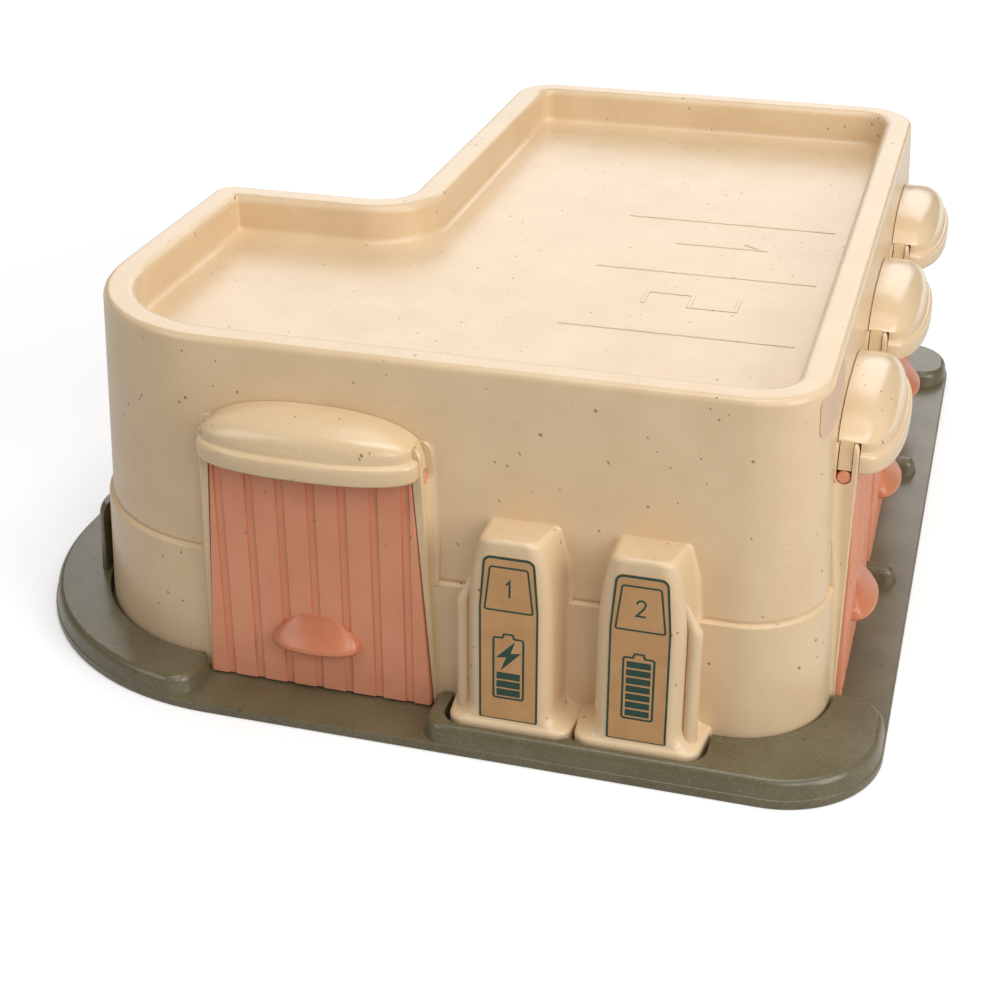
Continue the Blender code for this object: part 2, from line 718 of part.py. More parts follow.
def swept_corner(x, y, radius, turn):
    """Two corners that follow a round of the base plate through part of its turn."""
    cx = x + radius
    cy = y + radius
    reach = radius * math.tan(turn / 4.0)
    ahead = Vector((math.sin(turn / 2.0), -math.cos(turn / 2.0)))
    touch = Vector((cx - radius * math.cos(turn / 2.0), cy - radius * math.sin(turn / 2.0)))
    second = touch + ahead * reach
    return [(x, cy - reach, radius), (second.x, second.y, radius)]


def island(corners, roll=PLATFORM_ROUND):
    """A raised platform with a leaning face and a rounded upper edge."""
    rings = []
    steps = [(SLAB_H - 1.0 * MM, SLAB_EDGE), (PLATFORM_FACE_H, PLATFORM_LEAN)]
    drop = PLATFORM_H - PLATFORM_FACE_H
    for k in range(1, 4):
        a = math.pi / 2.0 * k / 3.0
        reach = roll * (1.0 - math.cos(a))
        steps.append((PLATFORM_FACE_H + drop * math.sin(a), PLATFORM_LEAN + reach))
    for z, inset in steps:
        rings.append(flat_ring(fillet_outline(inset_corners(corners, inset)), z))
    return loft("island", rings)


def build_base():
    rings = []
    for z, inset in ((0.0, 0.4 * MM), (0.6 * MM, 0.0), (SLAB_H - 0.4 * MM, 0.2 * MM), (SLAB_H, SLAB_EDGE)):
        rings.append(flat_ring(base_outline(inset), z))
    base = loft("base_plate", rings, MAT_BASE)
    hw = BASE_W / 2.0
    hd = BASE_D / 2.0
    door_l = FRONT_DOOR_X - BAY_HALF
    door_r = FRONT_DOOR_X + BAY_HALF
    side_1 = SIDE_DOOR_Y[0] - BAY_HALF
    side_3 = SIDE_DOOR_Y[-1] + BAY_HALF
    wing_end = WING_BACK - 8.5 * MM
    deep = BODY_RIGHT - 20.0 * MM
    spare = BASE_R_FRONT_LEFT - PLATFORM_END_R
    last = math.acos((spare - hw - door_l + 2.0 * PLATFORM_END_R) / spare)
    sweep = swept_corner(-hw, -hd, BASE_R_FRONT_LEFT, last)
    end_y = sweep[1][1] - (door_l - sweep[1][0]) / math.tan(last)
    islands = [
        sweep + [(door_l, end_y, PLATFORM_END_R),
                 (door_l, wing_end, 2.0 * MM), (-hw, wing_end, PLATFORM_SIDE_R)],
        [(door_r, -hd, PLATFORM_END_R), (hw, -hd, BASE_R_FRONT_RIGHT),
         (hw, side_1, PLATFORM_SIDE_R), (door_r, side_1, 2.0 * MM)],
        [(deep, side_3, 2.0 * MM), (hw, side_3, PLATFORM_SIDE_R),
         (hw, hd, BASE_R_BACK_RIGHT), (deep, hd, 2.0 * MM)],
    ]
    for low in SIDE_DOOR_Y[:-1]:
        y0 = low + BAY_HALF
        y1 = low + SIDE_DOOR_PITCH - BAY_HALF
        reach = BODY_RIGHT + CURB_REACH
        kerb = [(deep, y0, 2.0 * MM), (reach, y0, CURB_R), (reach, y1, CURB_R), (deep, y1, 2.0 * MM)]
        join(base, island(kerb, CURB_ROLL), "MANIFOLD")
    for corners in islands:
        join(base, island(corners), "MANIFOLD")
    recess = prism("recess", body_outline(body_inset(SLAB_H), -FOOT_GAP), SLAB_H, PLATFORM_H + 2.0 * MM)
    cut(base, recess, "MANIFOLD")
    for x_mid in PILLAR_X:
        half = FLANGE_HALF + PILLAR_FLARE + FOOT_GAP
        outline = fillet_outline([
            (x_mid - half, FLANGE_FRONT - FOOT_GAP, FLANGE_R + FOOT_GAP),
            (x_mid + half, FLANGE_FRONT - FOOT_GAP, FLANGE_R + FOOT_GAP),
            (x_mid + half, BODY_FRONT + 5.0 * MM, 0.0),
            (x_mid - half, BODY_FRONT + 5.0 * MM, 0.0),
        ], SMALL_SEGS)
        cut(base, prism("pillar_recess", outline, SLAB_H, PLATFORM_H + 2.0 * MM), "MANIFOLD")
    for label, place in BAYS:
        half = jamb_half(0.0) + FOOT_GAP
        cut(base, block(
            "jamb_recess", -half, half, -JAMB_PROUD - 5.0 * MM, FOOT_GAP,
            SLAB_H, PLATFORM_H + 2.0 * MM, None, place), "MANIFOLD")
    join(base, latch_tongue(), "MANIFOLD")
    for sx in (-1.0, 1.0):
        for sy in (-1.0, 1.0):
            x0, x1 = sorted((sx * RIB_W / 2.0, sx * (hw - POCKET_MARGIN)))
            y0, y1 = sorted((sy * RIB_W / 2.0, sy * (hd - POCKET_MARGIN)))
            radii = [POCKET_R] * 4
            if sx < 0 and sy < 0:
                radii[0] = BASE_R_FRONT_LEFT - POCKET_MARGIN
            if sx > 0 and sy < 0:
                radii[1] = BASE_R_FRONT_RIGHT - POCKET_MARGIN
            if sx > 0 and sy > 0:
                radii[2] = BASE_R_BACK_RIGHT - POCKET_MARGIN
            if sx < 0 and sy > 0:
                radii[3] = BASE_R_BACK_LEFT - POCKET_MARGIN
            corners = [(x0, y0, radii[0]), (x1, y0, radii[1]), (x1, y1, radii[2]), (x0, y1, radii[3])]
            cut(base, prism("pocket", fillet_outline(corners), -1.0 * MM, POCKET_DEPTH), "MANIFOLD")
    finish_shading(base)
    return base


def latch_face(z):
    """Where the tongue's flat side stands, just clear of the leaning wall."""
    return BODY_LEFT + body_inset(z) - SEAT_GAP


def latch_tongue():
    """Upright tongue beside the left wall with a nub that enters the wall."""
    rings = []
    levels = [
        (SLAB_H - 1.0 * MM, 1.0),
        (LATCH_TOP - 3.0 * MM, 0.94),
        (LATCH_TOP - 0.8 * MM, 0.8),
        (LATCH_TOP, 0.6),
    ]
    for z, share in levels:
        face = latch_face(z)
        ring = [(face, LATCH_Y + LATCH_HALF * share, z)]
        for k in range(1, 12):
            a = math.pi / 2.0 + math.pi * k / 12.0
            ring.append((face + LATCH_REACH * share * math.cos(a), LATCH_Y + LATCH_HALF * share * math.sin(a), z))
        ring.append((face, LATCH_Y - LATCH_HALF * share, z))
        rings.append(ring)
    tongue = loft("tongue", rings)
    nub = block(
        "nub", latch_face(0.0), latch_face(LATCH_NUB_Z) + LATCH_NUB_LEN,
        LATCH_Y - LATCH_NUB_HALF, LATCH_Y + LATCH_NUB_HALF,
        LATCH_NUB_Z, LATCH_NUB_Z + LATCH_NUB_H)
    return join(tongue, nub)


# Body shell

def build_body():
    body = loft("body_shell", rim_sections(), MAT_BODY)
    for label, place in BAYS:
        for cheek in jamb_pair(place):
            join(body, cheek)
    for x_mid, side in zip(PILLAR_X, CABLE_SIDES):
        join(body, pillar_solid(x_mid, side))
    hollow = loft("hollow", inner_sections(WALL, BODY_FOOT_Z - 2.0 * MM, BODY_TOP - WALL))
    keep = loft("tray_floor", tray_sections(-WALL, DECK_Z - DECK_T, BODY_TOP + 2.0 * MM))
    cut(hollow, keep)
    cut(body, hollow)
    cut(body, loft("tray", tray_sections(0.0, DECK_Z, BODY_TOP + 2.0 * MM)))
    for x_mid, side in zip(PILLAR_X, CABLE_SIDES):
        cut(body, pillar_solid(x_mid, side, PILLAR_WALL))
    for label, place in BAYS:
        cut(body, opening_cutter(place))
        for x_mid in (-TAB_X, TAB_X):
            cut(body, tab_box(x_mid, SEAT_GAP, place, "tab_slot"))
    cut(body, block(
        "latch_slot", BODY_LEFT - 2.0 * MM, BODY_LEFT + 8.0 * MM,
        LATCH_Y - LATCH_NUB_HALF - SEAT_GAP, LATCH_Y + LATCH_NUB_HALF + SEAT_GAP,
        LATCH_NUB_Z - SEAT_GAP, LATCH_NUB_Z + LATCH_NUB_H + SEAT_GAP))
    for mark in roof_marks():
        join(body, mark)
    finish_shading(body)
    return body


# Doors

def leaf_front(z):
    """Local y of the door's front face, leaning out towards its foot."""
    low = SLAB_H + DOOR_LIFT
    top = -PIN_BACK + LEAF_OFF_PIN + DOOR_T
    foot = wall_out(PLATFORM_H) + DOOR_WALL_GAP + DOOR_T
    return foot + (top - foot) * (z - low) / (PIN_Z - low)


def leaf_ring(z):
    """Cross-section of the leaf with its row of grooves."""
    front = leaf_front(z)
    back = front - DOOR_T
    half = door_half(z)
    ring = [(half, back, z), (half, front - 0.5 * MM, z), (half - 0.5 * MM, front, z)]
    mid = (PLANK_GROOVES - 1) / 2.0
    for k in range(PLANK_GROOVES - 1, -1, -1):
        x = (k - mid) * PLANK_PITCH
        side = PLANK_GROOVE_W / 2.0
        ring.append((x + side, front, z))
        ring.append((x + side - 0.25 * MM, front - PLANK_GROOVE_D, z))
        ring.append((x - side + 0.25 * MM, front - PLANK_GROOVE_D, z))
        ring.append((x - side, front, z))
    ring += [(-half + 0.5 * MM, front, z), (-half, front - 0.5 * MM, z), (-half, back, z)]
    return ring


def handle_ring(z, share, half):
    """Half-moon ring whose straight side lies inside the leaf."""
    front = leaf_front(z)
    back = front - DOOR_T * 0.5
    ring = [(-half, back, z), (half, back, z)]
    for k in range(13):
        a = math.pi * k / 12.0
        ring.append((half * math.cos(a), front + HANDLE_REACH * share * math.sin(a) ** 0.8, z))
    return ring


def build_door(label, place, pivot):
    low = SLAB_H + DOOR_LIFT
    top = PIN_Z + PIN_R - 0.4 * MM
    levels = [low, low + 0.6 * MM, top]
    leaf = loft("door_" + label, [leaf_ring(z) for z in levels], MAT_DOOR, place)
    rings = []
    for z, share, half in (
        (HANDLE_Z, 0.86, HANDLE_HALF - 0.8 * MM),
        (HANDLE_Z + 0.8 * MM, 1.0, HANDLE_HALF),
        (HANDLE_Z + HANDLE_LIP, 0.97, HANDLE_HALF),
        (HANDLE_Z + HANDLE_LIP + 0.25 * HANDLE_RISE, 0.70, HANDLE_HALF * 0.93),
        (HANDLE_Z + HANDLE_LIP + 0.5 * HANDLE_RISE, 0.44, HANDLE_HALF * 0.80),
        (HANDLE_Z + HANDLE_LIP + 0.75 * HANDLE_RISE, 0.20, HANDLE_HALF * 0.60),
        (HANDLE_Z + HANDLE_LIP + HANDLE_RISE, 0.02, HANDLE_HALF * 0.30),
    ):
        rings.append(handle_ring(z, share, half))
    join(leaf, loft("handle", rings, None, place))
    grip = []
    for z, share in ((HANDLE_Z - 1.0 * MM, 0.68), (HANDLE_Z + HANDLE_LIP - 1.0 * MM, 0.62)):
        half = HANDLE_HALF * (share + 0.14)
        front = leaf_front(z)
        ring = [(-half, front + 0.4 * MM, z), (half, front + 0.4 * MM, z)]
        for k in range(1, 12):
            a = math.pi * k / 12.0
            ring.append((half * math.cos(a), front + 0.6 * MM + HANDLE_REACH * share * math.sin(a), z))
        grip.append(ring)
    cut(leaf, loft("finger_hollow", grip, None, place))
    pin_half = jamb_half(PIN_Z) - SEAT_GAP
    rings = []
    for x, r in (
        (-pin_half, PIN_R - 0.4 * MM), (-pin_half + 0.4 * MM, PIN_R),
        (pin_half - 0.4 * MM, PIN_R), (pin_half, PIN_R - 0.4 * MM),
    ):
        ring = []
        for k in range(PIN_SEGS):
            a = 2.0 * math.pi * k / PIN_SEGS
            ring.append((x, -PIN_BACK + r * math.cos(a), PIN_Z + r * math.sin(a)))
        rings.append(ring)
    join(leaf, loft("pin", rings, None, place))
    finish_shading(leaf)
    leaf.data.transform(Matrix.Translation(-Vector(pivot)))
    leaf.location = pivot
    return leaf


def build_hood(label, place):
    hood = hood_solid(place, 0.0)
    join(hood, hood_flange(place), "MANIFOLD")
    cut(hood, hood_solid(place, HOOD_WALL), "MANIFOLD")
    for side in (-1.0, 1.0):
        join(hood, keeper(side, place), "MANIFOLD")
        join(hood, tab_box(side * TAB_X, 0.0, place, "tab"), "MANIFOLD")
    hood.name = "hood_" + label
    hood.data.name = hood.name
    hood.data.materials.clear()
    hood.data.materials.append(MAT_HOOD)
    finish_shading(hood)
    return hood


# Labels

def build_pillar_label(name, x_mid):
    """Thin label on a pillar's front face, following its lean."""
    mid = x_mid + LABEL_SHIFT
    outline = fillet_outline([
        (mid - LABEL_HALF, LABEL_BOTTOM, 0.6 * MM),
        (mid + LABEL_HALF, LABEL_BOTTOM, 0.6 * MM),
        (mid + LABEL_HALF, LABEL_KINK_Z, 2.0 * MM),
        (mid + LABEL_HALF_TOP, LABEL_TOP, LABEL_R),
        (mid - LABEL_HALF_TOP, LABEL_TOP, LABEL_R),
        (mid - LABEL_HALF, LABEL_KINK_Z, 2.0 * MM),
    ], SMALL_SEGS)
    rings = []
    for out in (LABEL_GAP, LABEL_GAP + LABEL_T):
        rings.append([(x, pillar_front(z) - out, z) for x, z in outline])
    return loft(name, rings, MAT_LABEL)


def build_side_label():
    """Thin sticker on the right wall that runs on round the front corner."""
    rings = []
    for z in (SIDE_LABEL_BOTTOM, SIDE_LABEL_TOP):
        inner = side_label_line(body_inset(z), -LABEL_GAP)
        outer = side_label_line(body_inset(z), -LABEL_GAP - LABEL_T)
        rings.append([(x, y, z) for x, y in outer + inner[::-1]])
    return loft("side_label", rings, MAT_STICKER)


def side_label_line(lean, offset):
    """Line along the wall: the last part of the corner's arc, then straight."""
    first = CORNER_SEGS + 1
    arc = [Vector(p) for p in body_outline(lean, offset)[first:first + CORNER_SEGS + 1]]
    start = (1.0 - SIDE_LABEL_TURN / 90.0) * CORNER_SEGS
    low = int(start)
    points = [tuple(arc[low].lerp(arc[low + 1], start - low))]
    points += [tuple(p) for p in arc[low + 1:]]
    points.append((arc[-1].x, SIDE_LABEL_END_Y))
    return points


build_base()
build_body()
for bay_label, bay_place in BAYS:
    pin_mid = Vector(bay_place((0.0, -PIN_BACK, PIN_Z)))
    build_door(bay_label, bay_place, pin_mid)
    build_hood(bay_label, bay_place)
build_pillar_label("label_pillar_left", PILLAR_X[0])
build_pillar_label("label_pillar_right", PILLAR_X[1])
build_side_label()
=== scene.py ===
"""Looks of a toy garage: moulded beige shell on an olive base plate, with flap doors."""

import math

import bmesh
import bpy
from mathutils import Matrix, Vector


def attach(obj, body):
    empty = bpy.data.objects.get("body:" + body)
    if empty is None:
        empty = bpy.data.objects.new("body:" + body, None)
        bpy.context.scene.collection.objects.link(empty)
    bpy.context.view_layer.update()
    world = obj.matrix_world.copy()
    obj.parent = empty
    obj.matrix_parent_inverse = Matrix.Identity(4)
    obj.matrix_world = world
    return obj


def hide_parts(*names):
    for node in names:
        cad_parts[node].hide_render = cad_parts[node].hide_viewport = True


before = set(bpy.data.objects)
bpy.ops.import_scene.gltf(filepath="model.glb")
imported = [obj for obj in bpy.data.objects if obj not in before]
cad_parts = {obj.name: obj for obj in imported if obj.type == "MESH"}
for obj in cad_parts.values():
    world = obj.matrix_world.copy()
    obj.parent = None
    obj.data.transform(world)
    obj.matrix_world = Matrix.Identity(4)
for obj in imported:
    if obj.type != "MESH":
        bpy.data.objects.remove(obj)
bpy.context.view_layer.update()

MM = 0.001

# Base plate; its rounds run from the front left corner to the right and round to the back left
BASE_W = 343.0 * MM
BASE_D = 390.0 * MM
BASE_ROUNDS = (101.0 * MM, 38.0 * MM, 22.0 * MM, 40.0 * MM)
SLAB_H = 3.7 * MM
PLATFORM_H = 10.5 * MM
PLATFORM_FACE_H = 6.6 * MM
PLATFORM_LEAN = 1.3 * MM
PLATFORM_ROUND = 3.6 * MM
PLATFORM_END_R = 10.0 * MM
PLATFORM_SIDE_R = 14.0 * MM
KERB_REACH = 16.0 * MM
KERB_R = 5.5 * MM
POCKET_DEPTH = 1.4 * MM
POCKET_MARGIN = 5.0 * MM
POCKET_R = 12.0 * MM
RIB_W = 8.0 * MM
HIDDEN_R = 2.0 * MM
FOOT_RECESS_R = 7.8 * MM

# Body shell
BODY_LEFT = -142.5 * MM
BODY_RIGHT = 149.5 * MM
BODY_FRONT = -170.5 * MM
BODY_BACK = 189.5 * MM
BODY_TOP = 135.5 * MM
BODY_FOOT = 4.0 * MM
WING_BACK = -0.5 * MM
NOTCH_X = -59.5 * MM
DRAFT = math.radians(2.95)
WALL = 3.0 * MM
BAND_TOP = 53.4 * MM
BAND_STEP = 1.4 * MM
ROUND_FRONT_LEFT = 64.0 * MM
ROUND_FRONT_RIGHT = 33.0 * MM
ROUND_BACK_RIGHT = 32.0 * MM
ROUND_BACK_LEFT = 26.0 * MM
ROUND_WING_BACK = 16.0 * MM
ROUND_NOTCH = 8.0 * MM
RIM_W = 12.0 * MM
RIM_ROUND_OUT = 2.4 * MM
RIM_ROUND_IN = 3.4 * MM
DECK_Z = 119.7 * MM
DECK_T = 3.0 * MM
DECK_SWEEP = 2.6 * MM

# Doors and hinges; the pins lie behind the front of the jambs by PIN_BACK
FRONT_DOOR_X = -32.7 * MM
SIDE_DOOR_Y = (-88.5 * MM, 10.5 * MM, 109.5 * MM)
BAY_HALF = 44.0 * MM
OPENING_HALF = 33.5 * MM
OPENING_TOP = 86.0 * MM
OPENING_R = 8.0 * MM
DOOR_T = 3.2 * MM
DOOR_LOW = 4.5 * MM
DOOR_HALF_FOOT = 43.2 * MM
DOOR_HALF_TOP = 37.6 * MM
LEAF_EDGE = 0.5 * MM
LEAF_BEVEL = 0.15 * MM
GROOVES = 7
GROOVE_PITCH = 11.7 * MM
GROOVE_W = 3.4 * MM
GROOVE_D = 0.75 * MM
GROOVE_SLANT = 0.4 * MM
HANDLE_HALF = 17.0 * MM
HANDLE_REACH = 8.0 * MM
HANDLE_Z = 23.0 * MM
HANDLE_LIP = 2.6 * MM
HANDLE_RISE = 10.0 * MM
PIN_Z = 95.0 * MM
PIN_R = 2.35 * MM
PIN_BACK = 4.45 * MM
PIN_EDGE = 0.4 * MM
PIN_SLOT_GAP = 0.25 * MM
SEAT_GAP = 0.3 * MM
SWING_GAP = 0.5 * MM

# Jambs
JAMB_PROUD = 1.5 * MM
JAMB_HALF_TOP = 41.6 * MM
JAMB_HALF_FOOT = 44.7 * MM
JAMB_TOP = 107.0 * MM
JAMB_ROUND = 4.5 * MM
JAMB_EDGE = 0.5 * MM
JAMB_SWEEP = 3.2 * MM

# Hoods
HOOD_HALF = 40.8 * MM
HOOD_REACH = 14.0 * MM
HOOD_BOTTOM = 96.5 * MM
HOOD_LEDGE_Z = 103.5 * MM
HOOD_STEP = 2.3 * MM
HOOD_CREST = 115.75 * MM
HOOD_DOME_HALF = 40.2 * MM
HOOD_POWER = 2.3
HOOD_WALL = 1.8 * MM
HOOD_SEAT = 107.3 * MM
TAB_X = 22.0 * MM
TAB_Z = 110.5 * MM
TAB_HALF = 4.0 * MM
TAB_DEPTH = 5.5 * MM
TAB_ROOT = 1.4 * MM
TAB_HALF_T = 1.2 * MM
KEEPER_RECESS = 0.6 * MM

# Charging pillars
PILLAR_X = (43.2 * MM, 88.8 * MM)
PILLAR_FRONT_TOP = -185.2 * MM
PILLAR_FRONT_FOOT = -187.6 * MM
PILLAR_TOP = 84.2 * MM
PILLAR_HALF = 15.3 * MM
PILLAR_HALF_TOP = 10.9 * MM
PILLAR_ROUND = 5.4 * MM
PILLAR_BEND_Z = 45.0 * MM
PILLAR_EDGE = 1.9 * MM
PILLAR_SWEEP = 1.8 * MM
FOOT_HALF = 22.3 * MM
FOOT_FRONT = -189.3 * MM
FOOT_TOP = 12.6 * MM
FOOT_EDGE = 1.8 * MM
FOOT_RISE = 5.5 * MM
LEAD_REACH = 20.4 * MM
LEAD_SHOULDER = 56.4 * MM
LEAD_TOP = 67.0 * MM

# Latch between the base plate and the left wall
LATCH_Y = -117.0 * MM
LATCH_HALF = 11.0 * MM
LATCH_REACH = 5.0 * MM
NUB_HALF = 6.0 * MM
NUB_DEPTH = 3.7 * MM
NUB_LOW = 31.0 * MM
NUB_HIGH = 34.0 * MM

# Raised marks on the roof deck
MARK_W = 1.5 * MM
MARK_RISE = 0.2 * MM
LANE_X = 77.0 * MM
LANE_Y = 42.5 * MM
LANE_PITCH = 61.5 * MM
LANE_LENGTH = 88.0 * MM
NUMBER_X = 59.0 * MM
NUMBER_UP = 27.0 * MM
NUMBER_W = 36.0 * MM
NUMBER_H = 12.0 * MM

# Labels
LABEL_HALF = 10.5 * MM
LABEL_HALF_TOP = 9.0 * MM
LABEL_BOTTOM = 13.9 * MM
LABEL_KINK = 58.5 * MM
LABEL_TOP = 78.6 * MM
LABEL_SHIFT = 0.35 * MM
LABEL_FACE = 0.31 * MM
LABEL_SINK = 0.06 * MM
INK = 0.05 * MM
INK_SINK = 0.02 * MM
BAR_W = 8.4 * MM
BAR_LOW = 25.2 * MM
PRINT_OUT = (LABEL_FACE - INK_SINK, LABEL_FACE + INK)
SIDE_LABEL_LOW = 118.5 * MM
SIDE_LABEL_HIGH = 132.3 * MM
SIDE_LABEL_END_Y = -112.0 * MM
SIDE_LABEL_R = 2.4 * MM

# How deep a moulded part is rooted in the wall, how far a cut goes past its solid, steps of arcs
ROOT = 1.5 * MM
OVER = 2.0 * MM
WIDE_SEGS = 24
SMALL_SEGS = 8


# Finishes: the sizes of their patterns are in millimetres

def tone(red, green, blue):
    """Linear colour of a shade that was read as 0 to 255."""
    out = []
    for value in (red, green, blue):
        share = value / 255.0
        out.append(share / 12.92 if share <= 0.04045 else ((share + 0.055) / 1.055) ** 2.4)
    return (out[0], out[1], out[2], 1.0)


def put(tree, kind, values=None, **settings):
    """Add a node, with its settings and its inputs set or wired."""
    node = tree.nodes.new(kind)
    for key, value in settings.items():
        setattr(node, key, value)
    for key, value in (values or {}).items():
        socket = node.inputs[key]
        if isinstance(value, bpy.types.NodeSocket):
            tree.links.new(value, socket)
        else:
            socket.default_value = value
    return node


def maths(tree, operation, first, second=0.0):
    return put(tree, "ShaderNodeMath", {0: first, 1: second}, operation=operation).outputs[0]


def blend_tones(tree, share, low, high):
    node = put(tree, "ShaderNodeMix", {"Factor": share}, data_type="RGBA")
    for index, value in ((6, low), (7, high)):
        if isinstance(value, bpy.types.NodeSocket):
            tree.links.new(value, node.inputs[index])
        else:
            node.inputs[index].default_value = value
    return node.outputs[2]


def spread(tree, value, low, high, out_low=0.0, out_high=1.0):
    return put(tree, "ShaderNodeMapRange", {
        "Value": value, "From Min": low, "From Max": high, "To Min": out_low, "To Max": out_high,
    }).outputs["Result"]


def millimetres(tree):
    """Place on the object in millimetres."""
    place = put(tree, "ShaderNodeTexCoord").outputs["Object"]
    return put(tree, "ShaderNodeVectorMath", {0: place, "Scale": 1.0 / MM}, operation="SCALE").outputs[0]


def noise(tree, place, size, detail, rough=0.5):
    values = {"Vector": place, "Scale": 1.0 / size, "Detail": detail, "Roughness": rough}
    return put(tree, "ShaderNodeTexNoise", values).outputs["Fac"]


def clouded(tree, height, low, high, deep, light):
    """Ground colour that drifts between two tones."""
    return blend_tones(tree, spread(tree, height, low, high), deep, light)


def dotted(tree, ground, mask, share, shade):
    """Ground colour with a share of another tone where the mask is."""
    return blend_tones(tree, maths(tree, "MULTIPLY", mask, share), ground, shade)


def curled(tree, place, size, amount):
    """Place bent gently to and fro, so that fibres curl."""
    wave = put(tree, "ShaderNodeTexNoise", {"Vector": place, "Scale": 1.0 / size, "Detail": 1.0})
    centred = put(tree, "ShaderNodeVectorMath", {0: wave.outputs["Color"], 1: (0.5, 0.5, 0.5)},
                  operation="SUBTRACT").outputs[0]
    moved = put(tree, "ShaderNodeVectorMath", {0: centred, "Scale": amount}, operation="SCALE").outputs[0]
    return put(tree, "ShaderNodeVectorMath", {0: place, 1: moved}, operation="ADD").outputs[0]


def flecks(tree, place, cell, radius, share, stretch, turn, shift):
    """Mask of sparse flecks: a few cells hold one, round or drawn out along an axis."""
    laid = put(tree, "ShaderNodeMapping", {
        "Vector": place, "Location": (shift, shift * 0.7, -shift), "Rotation": turn,
        "Scale": (cell * stretch, cell, cell),
    }, vector_type="TEXTURE").outputs[0]
    cells = put(tree, "ShaderNodeTexVoronoi", {"Vector": laid, "Scale": 1.0})
    parts = put(tree, "ShaderNodeSeparateColor", {"Color": cells.outputs["Color"]})
    held = maths(tree, "GREATER_THAN", parts.outputs[0], 1.0 - share)
    edge = maths(tree, "MULTIPLY_ADD", parts.outputs[1], radius / cell)
    edge.node.inputs[2].default_value = radius / cell * 0.45
    depth = maths(tree, "DIVIDE", cells.outputs["Distance"], edge)
    spot = spread(tree, depth, 1.0, 0.55)
    return maths(tree, "MULTIPLY", spot, held)


def fibre_flecks(tree, place, amount):
    """All the flecks of the moulding compound: specks and short curled fibres."""
    bent = curled(tree, place, 2.6, 1.3)
    total = flecks(tree, place, 4.6, 0.55, 0.30 * amount, 1.3, (0.4, 0.7, 0.2), 3.0)
    layers = (
        (4.6, 0.34, 0.36, 3.4, (0.3, 0.9, 0.5), 11.0),
        (5.2, 0.30, 0.38, 4.6, (1.4, -0.5, 2.1), 27.0),
        (5.0, 0.36, 0.34, 3.0, (-0.8, 1.3, 1.1), 43.0),
    )
    for cell, radius, share, *lie in layers:
        mask = flecks(tree, bent, cell, radius, share * amount, *lie)
        total = maths(tree, "MAXIMUM", total, mask)
    return total


def finish_material(name):
    """New material with its node tree, its shader and the place in millimetres."""
    mat = bpy.data.materials.new(name)
    mat.use_nodes = True
    tree = mat.node_tree
    return mat, tree, tree.nodes["Principled BSDF"], millimetres(tree)


def bump(tree, height, strength, distance, normal):
    values = {"Height": height, "Strength": strength, "Distance": distance, "Normal": normal}
    return put(tree, "ShaderNodeBump", values).outputs[0]


def soft_edges(tree, shader, place, radius, grain_size, grain, wave_size, wave):
    """Rounded edges, the fine grain of the mould and the slight sink of the walls."""
    kind, values = ("ShaderNodeBevel", {"Radius": radius}) if radius else ("ShaderNodeNewGeometry", {})
    eased = put(tree, kind, values).outputs["Normal"]
    sunk = bump(tree, noise(tree, place, wave_size, 1.0), wave, 0.4 * MM, eased)
    fine = noise(tree, place, grain_size, 2.0)
    tree.links.new(bump(tree, fine, grain, 0.05 * MM, sunk), shader.inputs["Normal"])
    return fine


def set_surface(tree, shader, ground, fine, smooth, rough, coat=0.0):
    """Colour, a roughness that follows the mould's grain, and a gloss coat."""
    tree.links.new(ground, shader.inputs["Base Color"])
    tree.links.new(spread(tree, fine, 0.3, 0.7, smooth, rough), shader.inputs["Roughness"])
    if coat:
        shader.inputs["Coat Weight"].default_value = coat
        shader.inputs["Coat Roughness"].default_value = 0.2


def flecked_plastic(name, deep, light, smooth, rough, amount, edge, coat):
    """Warm moulded plastic with plant fibre in it."""
    mat, tree, shader, place = finish_material(name)
    fine = soft_edges(tree, shader, place, edge, 0.9, 0.03, 16.0, 0.10)
    ground = clouded(tree, noise(tree, place, 22.0, 3.0), 0.32, 0.68, deep, light)
    pale = flecks(tree, curled(tree, place, 3.0, 1.0), 3.4, 0.5, 0.3, 1.8, (0.4, 0.2, 0.9), 71.0)
    ground = dotted(tree, ground, pale, 0.22, tone(250, 236, 210))
    ground = dotted(tree, ground, fibre_flecks(tree, place, amount), 0.72, tone(78, 62, 56))
    set_surface(tree, shader, ground, fine, smooth, rough, coat)
    shader.inputs["IOR"].default_value = 1.5
    return mat


def olive_plastic():
    """Olive plastic of the base plate, mottled with lighter and darker grain."""
    mat, tree, shader, place = finish_material("base_olive")
    fine = soft_edges(tree, shader, place, 0.45 * MM, 0.8, 0.10, 14.0, 0.10)
    ground = clouded(tree, noise(tree, place, 18.0, 3.0), 0.3, 0.7, tone(96, 87, 61), tone(110, 102, 75))
    grain = noise(tree, place, 0.9, 2.0, 0.7)
    ground = blend_tones(tree, spread(tree, grain, 0.56, 0.74, 0.0, 0.35), ground, tone(158, 152, 128))
    ground = blend_tones(tree, spread(tree, grain, 0.44, 0.28, 0.0, 0.30), ground, tone(72, 62, 44))
    ground = dotted(tree, ground, fibre_flecks(tree, place, 0.35), 0.5, tone(48, 40, 30))
    set_surface(tree, shader, ground, fine, 0.30, 0.40, 0.4)
    return mat


